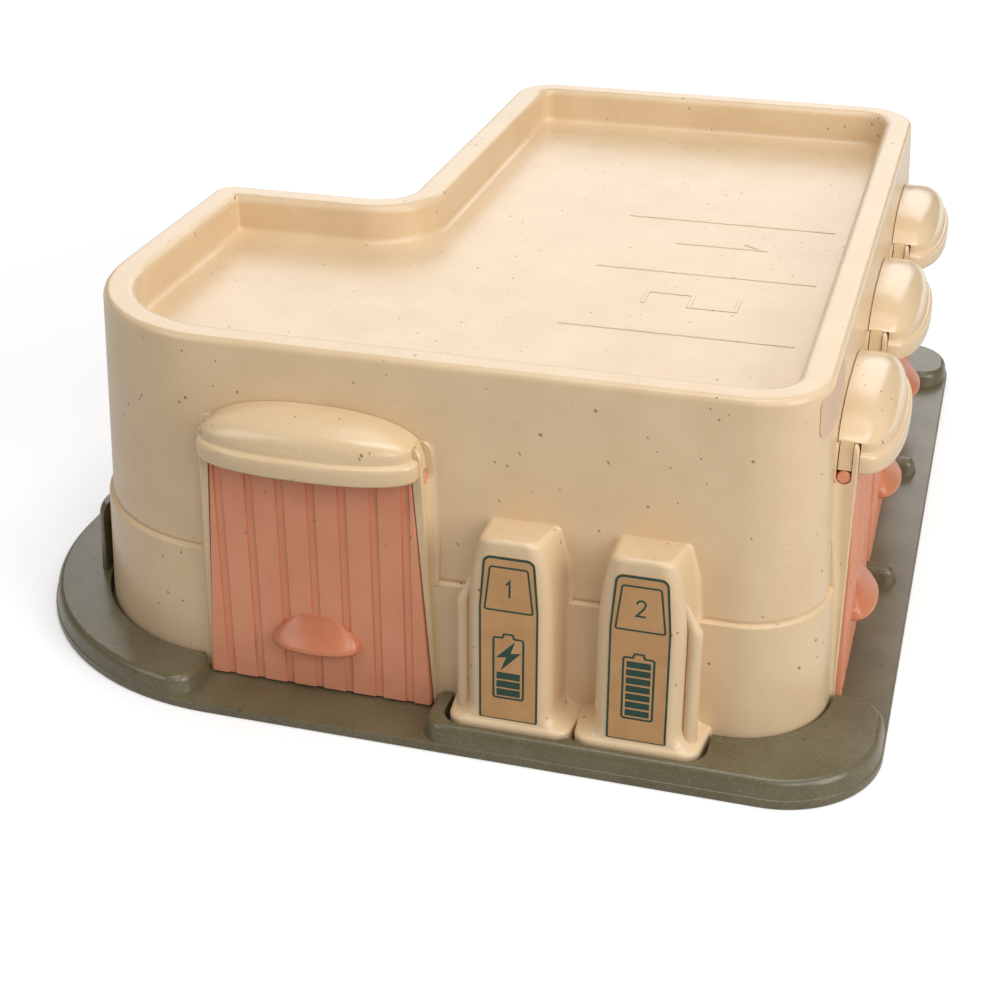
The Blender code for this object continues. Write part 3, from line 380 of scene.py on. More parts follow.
def terracotta_plastic():
    """Dull terracotta of the door leaves."""
    mat, tree, shader, place = finish_material("door_terracotta")
    fine = soft_edges(tree, shader, place, 0.16 * MM, 0.7, 0.05, 12.0, 0.08)
    ground = clouded(tree, noise(tree, place, 15.0, 4.0), 0.3, 0.7, tone(228, 150, 116), tone(235, 160, 125))
    mottle = noise(tree, place, 1.6, 3.0)
    ground = blend_tones(tree, spread(tree, mottle, 0.58, 0.8, 0.0, 0.30), ground, tone(236, 168, 136))
    ground = dotted(tree, ground, fibre_flecks(tree, place, 0.30), 0.5, tone(120, 62, 50))
    set_surface(tree, shader, ground, fine, 0.42, 0.54)
    return mat


def handle_shade_and_groove_light_plastic():
    """Smoother terracotta of the handles and hinge pins, painted deeper than the leaves as painted shade;
    the same finish is painted on the groove walls that face the right lamp as painted light.
    """
    mat, tree, shader, place = finish_material("door_handle_painted_shade_and_groove_light")
    fine = soft_edges(tree, shader, place, 0.0, 0.9, 0.03, 9.0, 0.10)
    # Painted shade: this deeper orange stands in for the shading of the handles; on the lamp-facing groove
    # walls it is painted light
    ground = clouded(tree, noise(tree, place, 9.0, 3.0), 0.3, 0.7, tone(206, 124, 86), tone(214, 134, 96))
    ground = dotted(tree, ground, fibre_flecks(tree, place, 0.3), 0.5, tone(120, 62, 50))
    set_surface(tree, shader, ground, fine, 0.28, 0.34, 0.25)
    return mat


def kraft_paper(name, low, high):
    """Label paper with pale fibres, dark specks and a slight tooth."""
    mat, tree, shader, place = finish_material(name)
    bent = curled(tree, place, 1.4, 0.8)
    shade = clouded(tree, noise(tree, place, 7.0, 4.0), 0.3, 0.7, low, high)
    fibres = flecks(tree, bent, 1.2, 0.09, 0.6, 5.0, (0.2, 0.5, 0.3), 5.0)
    shade = dotted(tree, shade, fibres, 0.4, tone(228, 196, 150))
    specks = flecks(tree, bent, 1.6, 0.10, 0.5, 3.0, (0.9, 0.1, 1.3), 19.0)
    shade = dotted(tree, shade, specks, 0.35, tone(120, 84, 50))
    tree.links.new(shade, shader.inputs["Base Color"])
    relief = put(tree, "ShaderNodeBump", {
        "Height": noise(tree, place, 0.35, 2.0), "Strength": 0.2, "Distance": 0.03 * MM,
    })
    tree.links.new(relief.outputs[0], shader.inputs["Normal"])
    shader.inputs["Roughness"].default_value = 0.62
    return mat


def printing_ink():
    """Dark green print, a little worn."""
    mat, tree, shader, place = finish_material("label_ink")
    shade = clouded(tree, noise(tree, place, 0.5, 3.0), 0.35, 0.75, tone(16, 58, 47), tone(34, 76, 62))
    tree.links.new(shade, shader.inputs["Base Color"])
    shader.inputs["Roughness"].default_value = 0.5
    return mat


BEIGE = flecked_plastic(
    "body_beige", tone(225, 196, 156), tone(232, 204, 165),
    smooth=0.27, rough=0.36, amount=1.0, edge=0.8 * MM, coat=0.3)
HOOD_BEIGE = flecked_plastic(
    "hood_beige", tone(224, 195, 153), tone(230, 202, 162),
    smooth=0.18, rough=0.27, amount=0.7, edge=0.0, coat=0.45)
OLIVE = olive_plastic()
TERRACOTTA = terracotta_plastic()
HANDLE_SHADE_AND_GROOVE_LIGHT_TERRACOTTA = handle_shade_and_groove_light_plastic()
KRAFT = kraft_paper("label_kraft", tone(196, 148, 98), tone(206, 160, 110))
PALE_PAPER = kraft_paper("label_pale", tone(214, 184, 158), tone(222, 194, 168))
GREEN_INK = printing_ink()


# Mesh building

def fillet_outline(corners, segs=WIDE_SEGS):
    """Closed outline from corners (x, y, radius), each rounded with an arc."""
    points = []
    count = len(corners)
    for i in range(count):
        x, y, radius = corners[i]
        here = Vector((x, y))
        back = (Vector(corners[i - 1][:2]) - here).normalized()
        ahead = (Vector(corners[(i + 1) % count][:2]) - here).normalized()
        half = math.acos(max(-1.0, min(1.0, back.dot(ahead)))) / 2.0
        if radius <= 1e-7 or half > math.radians(89.5):
            points.append((x, y))
            continue
        reach = radius / math.tan(half)
        start = here + back * reach
        end = here + ahead * reach
        centre = here + (back + ahead).normalized() * (radius / math.sin(half))
        a0 = math.atan2(start.y - centre.y, start.x - centre.x)
        a1 = math.atan2(end.y - centre.y, end.x - centre.x)
        turn = (a1 - a0 + math.pi) % (2.0 * math.pi) - math.pi
        for k in range(segs + 1):
            a = a0 + turn * k / segs
            spot = (centre.x + radius * math.cos(a), centre.y + radius * math.sin(a))
            if k or not points or math.dist(spot, points[-1]) > 1e-6:
                points.append(spot)
    return points


def inset_corners(corners, inset):
    """Corners of an outline whose edges have all moved inwards."""
    moved = []
    count = len(corners)
    for i in range(count):
        x, y, radius = corners[i]
        here = Vector((x, y))
        before = (here - Vector(corners[i - 1][:2])).normalized()
        after = (Vector(corners[(i + 1) % count][:2]) - here).normalized()
        mid = Vector((-before.y - after.y, before.x + after.x)).normalized()
        spot = here + mid * (inset / mid.dot(Vector((-before.y, before.x))))
        moved.append((spot.x, spot.y, max(radius - inset, 0.5 * MM)))
    return moved


def mesh_object(name, bm):
    """A new object that takes the mesh of a bmesh and frees it."""
    mesh = bpy.data.meshes.new(name)
    bm.to_mesh(mesh)
    bm.free()
    obj = bpy.data.objects.new(name, mesh)
    bpy.context.scene.collection.objects.link(obj)
    return obj


def in_mm(rows):
    """Rows of lengths given in millimetres, in metres."""
    return [tuple(value * MM for value in row) for row in rows]


def loft(name, sections, place=None):
    """Closed solid through rings of equal length."""
    bm = bmesh.new()
    rings = [[bm.verts.new(place(p) if place else p) for p in ring] for ring in sections]
    for low, high in zip(rings[:-1], rings[1:]):
        for k in range(len(low)):
            j = (k + 1) % len(low)
            bm.faces.new((low[k], low[j], high[j], high[k]))
    bm.faces.new(list(reversed(rings[0])))
    bm.faces.new(rings[-1])
    bmesh.ops.recalc_face_normals(bm, faces=bm.faces)
    return mesh_object(name, bm)


def flat_ring(outline, z):
    return [(x, y, z) for x, y in outline]


def prism(name, outline, z0, z1, place=None):
    return loft(name, [flat_ring(outline, z0), flat_ring(outline, z1)], place)


def block(name, low, high, place=None):
    outline = [(low[0], low[1]), (high[0], low[1]), (high[0], high[1]), (low[0], high[1])]
    return prism(name, outline, low[2], high[2], place)


def evaluated_mesh(obj):
    bpy.context.view_layer.update()
    graph = bpy.context.evaluated_depsgraph_get()
    return bpy.data.meshes.new_from_object(obj.evaluated_get(graph))


def drop(obj):
    mesh = obj.data
    bpy.data.objects.remove(obj, do_unlink=True)
    bpy.data.meshes.remove(mesh)


def set_mesh(obj, mesh):
    old = obj.data
    obj.data = mesh
    bpy.data.meshes.remove(old)


def combine(target, tool, operation):
    """Boolean of two closed solids; the tool is used up."""
    mod = target.modifiers.new("combine", "BOOLEAN")
    mod.operation = operation
    mod.solver = "MANIFOLD"
    mod.object = tool
    mesh = evaluated_mesh(target)
    target.modifiers.clear()
    set_mesh(target, mesh)
    drop(tool)
    bm = bmesh.new()
    bm.from_mesh(mesh)
    bmesh.ops.remove_doubles(bm, verts=bm.verts, dist=1e-6)
    bmesh.ops.dissolve_degenerate(bm, dist=1e-6, edges=bm.edges)
    bm.to_mesh(mesh)
    bm.free()
    return target


def join(target, tool):
    return combine(target, tool, "UNION")


def cut(target, tool):
    return combine(target, tool, "DIFFERENCE")


def dress(obj, mat, sharp=28.0):
    """Smooth shading that stays even over flat faces, and the piece's finish."""
    obj.data.shade_smooth()
    obj.data.set_sharp_from_angle(angle=math.radians(sharp))
    mod = obj.modifiers.new("even", "WEIGHTED_NORMAL")
    mod.keep_sharp = True
    mod.weight = 80
    mesh = evaluated_mesh(obj)
    obj.modifiers.clear()
    set_mesh(obj, mesh)
    mesh.materials.clear()
    mesh.materials.append(mat)
    for face in mesh.polygons:
        face.material_index = 0
    return obj


def quarter(steps):
    """Sine and cosine of the steps of a quarter turn, without its start."""
    turns = [math.pi / 2.0 * k / steps for k in range(1, steps + 1)]
    return [(math.sin(a), math.cos(a)) for a in turns]


# Rows of equal bars

def bar_row_tree():
    """Geometry nodes that set a row of equal bars."""
    tree = bpy.data.node_groups.new("bar_row", "GeometryNodeTree")
    for name, kind in (
        ("Count", "NodeSocketInt"), ("Pitch", "NodeSocketVector"), ("First Bar", "NodeSocketVector"),
        ("Bar Size", "NodeSocketVector"), ("Finish", "NodeSocketMaterial"),
    ):
        tree.interface.new_socket(name, in_out="INPUT", socket_type=kind)
    tree.interface.new_socket("Row", in_out="OUTPUT", socket_type="NodeSocketGeometry")
    given = tree.nodes.new("NodeGroupInput").outputs
    line = put(tree, "GeometryNodeMeshLine", {
        "Count": given["Count"], "Start Location": given["First Bar"], "Offset": given["Pitch"],
    }, mode="OFFSET")
    bar = put(tree, "GeometryNodeMeshCube", {"Size": given["Bar Size"]})
    row = put(tree, "GeometryNodeInstanceOnPoints", {"Points": line.outputs[0], "Instance": bar.outputs[0]})
    real = put(tree, "GeometryNodeRealizeInstances", {0: row.outputs[0]})
    done = put(tree, "GeometryNodeSetMaterial", {"Geometry": real.outputs[0], "Material": given["Finish"]})
    put(tree, "NodeGroupOutput", {0: done.outputs[0]})
    return tree


BAR_ROW = bar_row_tree()


def bar_row(name, count, first, pitch, size, mat):
    """A row of bars as a plain mesh."""
    obj = mesh_object(name, bmesh.new())
    mod = obj.modifiers.new("row", "NODES")
    mod.node_group = BAR_ROW
    values = {"Count": count, "First Bar": first, "Pitch": pitch, "Bar Size": size, "Finish": mat}
    for item in BAR_ROW.interface.items_tree:
        if item.item_type == "SOCKET" and item.in_out == "INPUT":
            mod[item.identifier] = values[item.name]
    made = evaluated_mesh(obj)
    obj.modifiers.clear()
    set_mesh(obj, made)
    made.name = name
    return obj


# Body shell

def body_inset(z):
    """How far the outer wall lies inside its outline at the platforms."""
    return math.tan(DRAFT) * (z - PLATFORM_H) + (BAND_STEP if z > BAND_TOP + 0.4 * MM else 0.0)


def body_corners(lean, offset=0.0):
    inset = lean + offset
    return [
        (BODY_LEFT + inset, BODY_FRONT + inset, ROUND_FRONT_LEFT - lean * 0.5 - offset),
        (BODY_RIGHT - inset, BODY_FRONT + inset, ROUND_FRONT_RIGHT - inset),
        (BODY_RIGHT - inset, BODY_BACK - inset, max(ROUND_BACK_RIGHT - inset, MM)),
        (NOTCH_X + inset, BODY_BACK - inset, max(ROUND_BACK_LEFT - inset, MM)),
        (NOTCH_X + inset, WING_BACK - inset, ROUND_NOTCH + inset),
        (BODY_LEFT + inset, WING_BACK - inset, max(ROUND_WING_BACK - inset, MM)),
    ]


def body_outline(lean, offset=0.0):
    return fillet_outline(body_corners(lean, offset))


TOP_INSET = body_inset(BODY_TOP)


def outer_wall():
    """The wall with its lower band, the groove above it and the round of the rim."""
    band = body_inset(BAND_TOP)
    over = band + BAND_STEP
    steps = [
        (BODY_FOOT, body_inset(BODY_FOOT)),
        (BAND_TOP - 0.9 * MM, body_inset(BAND_TOP - 0.9 * MM)),
        (BAND_TOP - 0.3 * MM, band + 0.12 * MM),
        (BAND_TOP, band + 0.5 * MM),
        (BAND_TOP + 0.2 * MM, over + 0.1 * MM),
        (BAND_TOP + 0.5 * MM, over + 0.5 * MM),
        (BAND_TOP + 0.9 * MM, over + 0.45 * MM),
        (BAND_TOP + 1.4 * MM, body_inset(BAND_TOP + 1.4 * MM) + 0.08 * MM),
        (BAND_TOP + 2.0 * MM, body_inset(BAND_TOP + 2.0 * MM)),
        (BODY_TOP - RIM_ROUND_OUT, body_inset(BODY_TOP - RIM_ROUND_OUT)),
    ]
    rings = [flat_ring(body_outline(lean), z) for z, lean in steps]
    for up, out in quarter(6):
        z = BODY_TOP - RIM_ROUND_OUT + RIM_ROUND_OUT * up
        rings.append(flat_ring(body_outline(TOP_INSET, RIM_ROUND_OUT * (1.0 - out)), z))
    return loft("body_shell_moulding", rings)


def hollow_inside():
    """The space between the walls, from under the foot to under the rim."""
    rings = []
    for z in (BODY_FOOT - 2.0 * MM, BAND_TOP - WALL, BAND_TOP + 0.8 * MM, BODY_TOP - WALL):
        lean = math.tan(DRAFT) * (z - PLATFORM_H) + (BAND_STEP if z > BAND_TOP - WALL * 0.5 else 0.0)
        rings.append(flat_ring(body_outline(lean, WALL), z))
    return loft("hollow", rings)


def tray(offset, low, high, sweep):
    """The sunk roof tray: swept into its floor, with its upper edge rounded outwards."""
    edge = RIM_W + offset
    rings = []
    if sweep:
        rings.append(flat_ring(body_outline(TOP_INSET, edge + sweep), low))
        for up, out in quarter(5):
            z = low + sweep * (1.0 - out)
            rings.append(flat_ring(body_outline(TOP_INSET, edge + sweep * (1.0 - up)), z))
    else:
        rings.append(flat_ring(body_outline(TOP_INSET, edge), low))
    rings.append(flat_ring(body_outline(TOP_INSET, edge), BODY_TOP - RIM_ROUND_IN))
    for up, out in quarter(6):
        z = BODY_TOP - RIM_ROUND_IN * (1.0 - up)
        rings.append(flat_ring(body_outline(TOP_INSET, edge - RIM_ROUND_IN * (1.0 - out)), z))
    rings.append(flat_ring(body_outline(TOP_INSET, edge - RIM_ROUND_IN), high))
    return loft("tray", rings)


# Door bays: local x runs along the wall, local y points out of the wall

def place_front(p):
    """Place on the front wall of a point that is given in its bay."""
    return (FRONT_DOOR_X + p[0], BODY_FRONT - JAMB_PROUD - p[1], p[2])


def place_side(y_mid):
    """The same for a bay of the right wall."""
    def place(p):
        return (BODY_RIGHT + JAMB_PROUD + p[1], y_mid + p[0], p[2])
    return place


BAYS = [("front", place_front)]
for number, middle in enumerate(SIDE_DOOR_Y, 1):
    BAYS.append(("side_%d" % number, place_side(middle)))


def bay_axes(place):
    """Origin of a bay, with its directions along the wall and out of it."""
    origin = Vector(place((0.0, 0.0, 0.0)))
    return origin, Vector(place((1.0, 0.0, 0.0))) - origin, Vector(place((0.0, 1.0, 0.0))) - origin


def wall_out(z):
    """Local y of the outer wall in a bay."""
    return -JAMB_PROUD - body_inset(z)


def jamb_half(z):
    share = (z - PLATFORM_H) / (PIN_Z - PLATFORM_H)
    return JAMB_HALF_FOOT + (JAMB_HALF_TOP - JAMB_HALF_FOOT) * share


def door_half(z):
    share = (z - DOOR_LOW) / (PIN_Z - DOOR_LOW)
    return DOOR_HALF_FOOT + (DOOR_HALF_TOP - DOOR_HALF_FOOT) * share


def cheek_ring(side, z, sink):
    """One level of a cheek; sink is how far its rounded top has come down."""
    inner = door_half(min(z, PIN_Z)) + SWING_GAP
    outer = jamb_half(z) - sink * 0.62
    sink *= 0.25
    wall = wall_out(z)
    sweep = min(JAMB_SWEEP, (-sink - wall) * 0.6)
    ring = [(inner, wall - ROOT), (inner, -sink), (outer - JAMB_EDGE, -sink), (outer, -sink - JAMB_EDGE)]
    for k in range(7):
        a = math.pi / 2.0 * k / 6.0
        ring.append((outer + sweep * (1.0 - math.cos(a)), wall + sweep * (1.0 - math.sin(a))))
    ring.append((outer + sweep, wall - ROOT))
    return [(side * x, y, z) for x, y in ring]


def hinge_slot(side, place):
    """Slot in a cheek that is round under the pin and open at the top."""
    slot_r = PIN_R + PIN_SLOT_GAP
    profile = []
    for k in range(17):
        a = math.pi + math.pi * k / 16.0
        profile.append((-PIN_BACK + slot_r * math.cos(a), PIN_Z + slot_r * math.sin(a)))
    profile.append((-PIN_BACK + slot_r, JAMB_TOP + OVER))
    profile.append((-PIN_BACK - slot_r, JAMB_TOP + OVER))
    ends = (side * (DOOR_HALF_TOP - 2.0 * MM), side * (JAMB_HALF_FOOT + 3.0 * MM))
    return loft("slot", [[(x, y, z) for y, z in profile] for x in ends], place)


def jambs(place):
    """The two cheeks beside a door, each swept into the wall, with its hinge slot."""
    heights = (BODY_FOOT, 16.0 * MM, 30.0 * MM, BAND_TOP, 72.0 * MM, PIN_Z, JAMB_TOP - JAMB_ROUND)
    levels = [(z, 0.0) for z in heights]
    for up, out in quarter(6):
        levels.append((JAMB_TOP - JAMB_ROUND * (1.0 - up), JAMB_ROUND * (1.0 - out)))
    for side in (-1.0, 1.0):
        cheek = loft("cheek", [cheek_ring(side, z, sink) for z, sink in levels], place)
        yield cut(cheek, hinge_slot(side, place))


def doorway(place):
    """Opening in the wall behind a door, with rounded upper corners."""
    outline = [(-OPENING_HALF, BODY_FOOT - OVER), (OPENING_HALF, BODY_FOOT - OVER)]
    for cx, a0 in ((OPENING_HALF - OPENING_R, 0.0), (-OPENING_HALF + OPENING_R, math.pi / 2.0)):
        for k in range(SMALL_SEGS + 1):
            a = a0 + math.pi / 2.0 * k / SMALL_SEGS
            outline.append((cx + OPENING_R * math.cos(a), OPENING_TOP - OPENING_R + OPENING_R * math.sin(a)))
    depth = (wall_out(OPENING_TOP) - 2.0 * WALL, MM)
    return loft("doorway", [[(x, y, z) for x, z in outline] for y in depth], place)


def snap_tab(x_mid, gap, place):
    """A snap tab of a hood, or with a gap the slot in the wall for it."""
    wall = wall_out(TAB_Z)
    low = (x_mid - TAB_HALF - gap, wall - TAB_DEPTH - gap, TAB_Z - TAB_HALF_T - gap)
    high = (x_mid + TAB_HALF + gap, wall + TAB_ROOT + gap, TAB_Z + TAB_HALF_T + gap)
    return block("tab", low, high, place)


# Charging pillars

def pillar_front(z):
    share = (z - PLATFORM_H) / (PILLAR_TOP - PLATFORM_H)
    return PILLAR_FRONT_FOOT + (PILLAR_FRONT_TOP - PILLAR_FRONT_FOOT) * share


def pillar_half(z):
    share = max(0.0, (z - PILLAR_BEND_Z) / (PILLAR_TOP - PILLAR_BEND_Z))
    return PILLAR_HALF - (PILLAR_HALF - PILLAR_HALF_TOP) * share ** 2.8


def pillar_ring(x_mid, z, half, front, radius, sweep):
    """One level of a pillar: rounded front corners, sides swept into the wall."""
    wall = BODY_FRONT + body_inset(z)
    side = []
    for k in range(SMALL_SEGS + 1):
        a = -math.pi / 2.0 + math.pi / 2.0 * k / SMALL_SEGS
        side.append((half - radius + radius * math.cos(a), front + radius + radius * math.sin(a)))
    half += 1.1 * MM
    for k in range(SMALL_SEGS + 1):
        a = math.pi / 2.0 * k / SMALL_SEGS
        side.append((half + sweep * (1.0 - math.cos(a)), wall - sweep * (1.0 - math.sin(a))))
    side.append((half + sweep, wall + ROOT))
    fall = 0.13 * max(0.0, min(1.0, (z - 70.0 * MM) / (10.0 * MM)))
    ring = [(x_mid + x, y, z - fall * (y - front)) for x, y in side]
    ring += [(x_mid - x, y, z - fall * (y - front)) for x, y in reversed(side)]
    return ring


def pillar_levels():
    """Height, half width, front, corner radius and sweep of a pillar from its foot up."""
    levels = [(BODY_FOOT, FOOT_HALF, FOOT_FRONT, 7.0 * MM, MM)]
    for up, out in [(0.0, 1.0)] + quarter(4):
        shrink = FOOT_EDGE * (1.0 - out)
        z = FOOT_TOP - FOOT_EDGE * (1.0 - up)
        levels.append((z, FOOT_HALF - shrink, FOOT_FRONT + shrink * 0.6, 6.5 * MM, MM))
    for share in (0.25, 0.5, 0.75, 1.0):
        turn = share * math.pi / 2.0
        z = FOOT_TOP + 0.3 * MM + FOOT_RISE * (1.0 - math.cos(turn))
        half = PILLAR_HALF + (FOOT_HALF - 2.6 * MM - PILLAR_HALF) * (1.0 - math.sin(turn))
        levels.append((z, half, pillar_front(z) - 0.3 * MM * (1.0 - share), PILLAR_ROUND, 1.6 * MM))
    for z in (30.0, 42.0, 50.0, 56.0, 61.0, 66.0, 70.0, 73.5, 76.5, 79.0, 81.0):
        levels.append((z * MM, pillar_half(z * MM), pillar_front(z * MM), PILLAR_ROUND, PILLAR_SWEEP))
    for up, out in [(0.0, 1.0)] + quarter(5):
        z = PILLAR_TOP - PILLAR_EDGE * (1.0 - up)
        shrink = PILLAR_EDGE * (1.0 - out)
        half = pillar_half(z) - shrink * 0.9
        levels.append((z, half, pillar_front(z) + shrink * 0.9, PILLAR_ROUND - shrink * 0.3, PILLAR_SWEEP))
    return levels


def charging_lead(x_mid, lead_side):
    """Ridge along a pillar's side that slopes into it at the top."""
    rings = []
    for z, reach, set_back, radius in (
        (BODY_FOOT + MM, LEAD_REACH, 4.4, 2.6),
        (LEAD_SHOULDER - 4.0 * MM, LEAD_REACH, 4.4, 2.6),
        (LEAD_SHOULDER - 0.6 * MM, LEAD_REACH, 4.5, 2.6),
        (LEAD_SHOULDER + 0.4 * MM, LEAD_REACH - 0.5 * MM, 4.7, 2.4),
        (LEAD_SHOULDER + 5.0 * MM, LEAD_REACH - 2.9 * MM, 4.9, 1.8),
        (LEAD_TOP, PILLAR_HALF - 0.6 * MM, 5.2, 0.8),
    ):
        front = pillar_front(z) + set_back * MM
        r = radius * MM
        inner = PILLAR_HALF - 3.0 * MM
        ring = [(inner, front + 4.0 * r), (inner, front + 0.4 * r)]
        for k in range(13):
            a = math.radians(160.0 - 210.0 * k / 12.0)
            ring.append((reach - r + r * math.cos(a), front + r - r * math.sin(a)))
        rings.append([(x_mid + lead_side * x, y, z) for x, y in ring])
    return loft("lead", rings)


def pillar(x_mid, lead_side):
    """One pillar on its foot, with the moulded lead beside it."""
    body = loft("pillar", [pillar_ring(x_mid, *level) for level in pillar_levels()])
    return join(body, charging_lead(x_mid, lead_side))


# Raised marks on the roof deck

def ribbon(points, width):
    """Outline of a flat stroke along a line of points."""
    left = []
    right = []
    last = len(points) - 1
    for i, p in enumerate(points):
        here = Vector(p)
        before = (here - Vector(points[i - 1])).normalized() if i > 0 else None
        after = (Vector(points[i + 1]) - here).normalized() if i < last else None
        before = before or after
        after = after or before
        normal = Vector((-(before.y + after.y), before.x + after.x)).normalized()
        reach = width / 2.0 / max(0.35, normal.dot(Vector((-before.y, before.x))))
        left.append(tuple(here + normal * reach))
        right.append(tuple(here - normal * reach))
    return right + left[::-1]


DIGITS = {
    1: [(0.0, 0.5), (1.0, 0.5), (0.78, 0.95)],
    2: [(0.0, 0.0), (0.0, 1.0), (0.5, 1.0), (0.5, 0.0), (1.0, 0.0), (1.0, 1.0)],
}


def roof_marks():
    """Raised lines between the parking bays, and the numbers of two bays."""
    low = DECK_Z - 0.8 * MM
    high = DECK_Z + MARK_RISE
    first = (LANE_X, LANE_Y, (low + high) / 2.0)
    yield bar_row("lane_lines", 3, first, (0.0, -LANE_PITCH, 0.0), (LANE_LENGTH, MARK_W, high - low), BEIGE)
    for kind in (1, 2):
        y_low = LANE_Y - LANE_PITCH * kind + NUMBER_UP
        stroke = [(NUMBER_X + a * NUMBER_W, y_low + b * NUMBER_H) for a, b in DIGITS[kind]]
        yield prism("bay_number", ribbon(stroke, MARK_W), low, high)


def make_body():
    """The whole body moulding; its jambs take the glossier finish of the hoods."""
    body = outer_wall()
    for _, place in BAYS:
        for cheek in jambs(place):
            join(body, cheek)
    for x_mid, side in zip(PILLAR_X, (-1.0, 1.0)):
        join(body, pillar(x_mid, side))
    hollow = hollow_inside()
    cut(hollow, tray(-WALL, DECK_Z - DECK_T, BODY_TOP + OVER, 0.0))
    cut(body, hollow)
    cut(body, tray(0.0, DECK_Z, BODY_TOP + OVER, DECK_SWEEP))
    for _, place in BAYS:
        cut(body, doorway(place))
        for x_mid in (-TAB_X, TAB_X):
            cut(body, snap_tab(x_mid, SEAT_GAP, place))
    half = NUB_HALF + SEAT_GAP
    low = (BODY_LEFT - OVER, LATCH_Y - half, NUB_LOW - SEAT_GAP)
    cut(body, block("latch_slot", low, (BODY_LEFT + 8.0 * MM, LATCH_Y + half, NUB_HIGH + SEAT_GAP)))
    for mark in roof_marks():
        join(body, mark)
    dress(body, BEIGE)
    body.data.materials.append(HOOD_BEIGE)
    for _, place in BAYS:
        origin, across, outward = bay_axes(place)
        for face in body.data.polygons:
            spot = face.center - origin
            z = face.center.z
            beside = 37.0 * MM < abs(spot.dot(across)) < jamb_half(z) + 3.4 * MM
            if beside and wall_out(z) + 0.35 * MM < spot.dot(outward) < MM:
                face.material_index = 1
    return body


# Base plate

def base_corners():
    """The four corners of the base plate with their radii."""
    hw = BASE_W / 2.0
    hd = BASE_D / 2.0
    spots = ((-hw, -hd), (hw, -hd), (hw, hd), (-hw, hd))
    return [(x, y, radius) for (x, y), radius in zip(spots, BASE_ROUNDS)]


def swept_corner(x, y, radius, turn):
    """Two corners that follow a round of the base plate through part of its turn."""
    cx = x + radius
    cy = y + radius
    reach = radius * math.tan(turn / 4.0)
    ahead = Vector((math.sin(turn / 2.0), -math.cos(turn / 2.0)))
    second = Vector((cx - radius * math.cos(turn / 2.0), cy - radius * math.sin(turn / 2.0))) + ahead * reach
    return [(x, cy - reach, radius), (second.x, second.y, radius)]


def eased_rings(corners, steps):
    """Rings of an outline at given heights, each set in by a given amount."""
    return [flat_ring(fillet_outline(inset_corners(corners, inset)), z) for z, inset in steps]


def platform(corners):
    """A raised platform with a leaning face and a rounded upper edge."""
    steps = [(SLAB_H - MM, 0.5 * MM), (SLAB_H + 0.2 * MM, 0.6 * MM), (PLATFORM_FACE_H, PLATFORM_LEAN)]
    rise = PLATFORM_H - PLATFORM_FACE_H
    last = math.radians(74.0)
    for k in range(1, 7):
        a = last * k / 6.0
        steps.append((
            PLATFORM_FACE_H + rise * (math.sin(a) / math.sin(last)),
            PLATFORM_LEAN + PLATFORM_ROUND * (1.0 - math.cos(a))))
    return loft("platform", eased_rings(corners, steps))


def latch_tongue():
    """Upright tongue beside the left wall with a nub that enters the wall."""
    rings = []
    for z, share in ((2.7, 1.0), (33.4, 0.97), (36.4, 0.93), (38.0, 0.85), (38.9, 0.74), (39.4, 0.6)):
        z *= MM
        face = BODY_LEFT + body_inset(z) - SEAT_GAP
        half = LATCH_HALF * share
        ring = [(face, LATCH_Y + half, z)]
        for k in range(1, 20):
            a = math.pi / 2.0 + math.pi * k / 20.0
            ring.append((face + LATCH_REACH * share * math.cos(a), LATCH_Y + half * math.sin(a), z))
        ring.append((face, LATCH_Y - half, z))
        rings.append(ring)
    low = BODY_LEFT + body_inset(0.0) - SEAT_GAP
    high = BODY_LEFT + body_inset(NUB_LOW) + NUB_DEPTH
    nub = block("nub", (low, LATCH_Y - NUB_HALF, NUB_LOW), (high, LATCH_Y + NUB_HALF, NUB_HIGH))
    return join(loft("tongue", rings), nub)


def slab():
    """The flat plate under the platforms, with its edges eased."""
    top = SLAB_H / MM
    steps = in_mm(((0.0, 0.5), (0.3, 0.15), (0.8, 0.0), (top - 0.7, 0.1), (top - 0.2, 0.3), (top, 0.6)))
    return loft("base_plate_moulding", eased_rings(base_corners(), steps))


def platforms():
    """Corners of the three raised pavements, then of the kerbs between the side doors."""
    hw = BASE_W / 2.0
    hd = BASE_D / 2.0
    door_l = FRONT_DOOR_X - BAY_HALF
    door_r = FRONT_DOOR_X + BAY_HALF
    side_1 = SIDE_DOOR_Y[0] - BAY_HALF
    side_3 = SIDE_DOOR_Y[-1] + BAY_HALF
    wing_end = WING_BACK - 8.5 * MM
    deep = BODY_RIGHT - 20.0 * MM
    radius = BASE_ROUNDS[0]
    last = math.acos((-hw + radius - door_l + PLATFORM_END_R) / (radius - PLATFORM_END_R))
    sweep = swept_corner(-hw, -hd, radius, last)
    end_y = sweep[1][1] - (door_l - sweep[1][0]) / math.tan(last)
    yield sweep + [
        (door_l, end_y, PLATFORM_END_R), (door_l, wing_end, HIDDEN_R), (-hw, wing_end, PLATFORM_SIDE_R)]
    yield [
        (door_r, -hd, PLATFORM_END_R), (hw, -hd, BASE_ROUNDS[1]),
        (hw, side_1, PLATFORM_SIDE_R), (door_r, side_1, HIDDEN_R)]
    yield [
        (deep, side_3, HIDDEN_R), (hw, side_3, PLATFORM_SIDE_R),
        (hw, hd, BASE_ROUNDS[2]), (deep, hd, HIDDEN_R)]
    reach = BODY_RIGHT + KERB_REACH
    for low, high in zip(SIDE_DOOR_Y[:-1], SIDE_DOOR_Y[1:]):
        y0 = low + BAY_HALF
        y1 = high - BAY_HALF
        yield [(deep, y0, HIDDEN_R), (reach, y0, KERB_R), (reach, y1, KERB_R), (deep, y1, HIDDEN_R)]


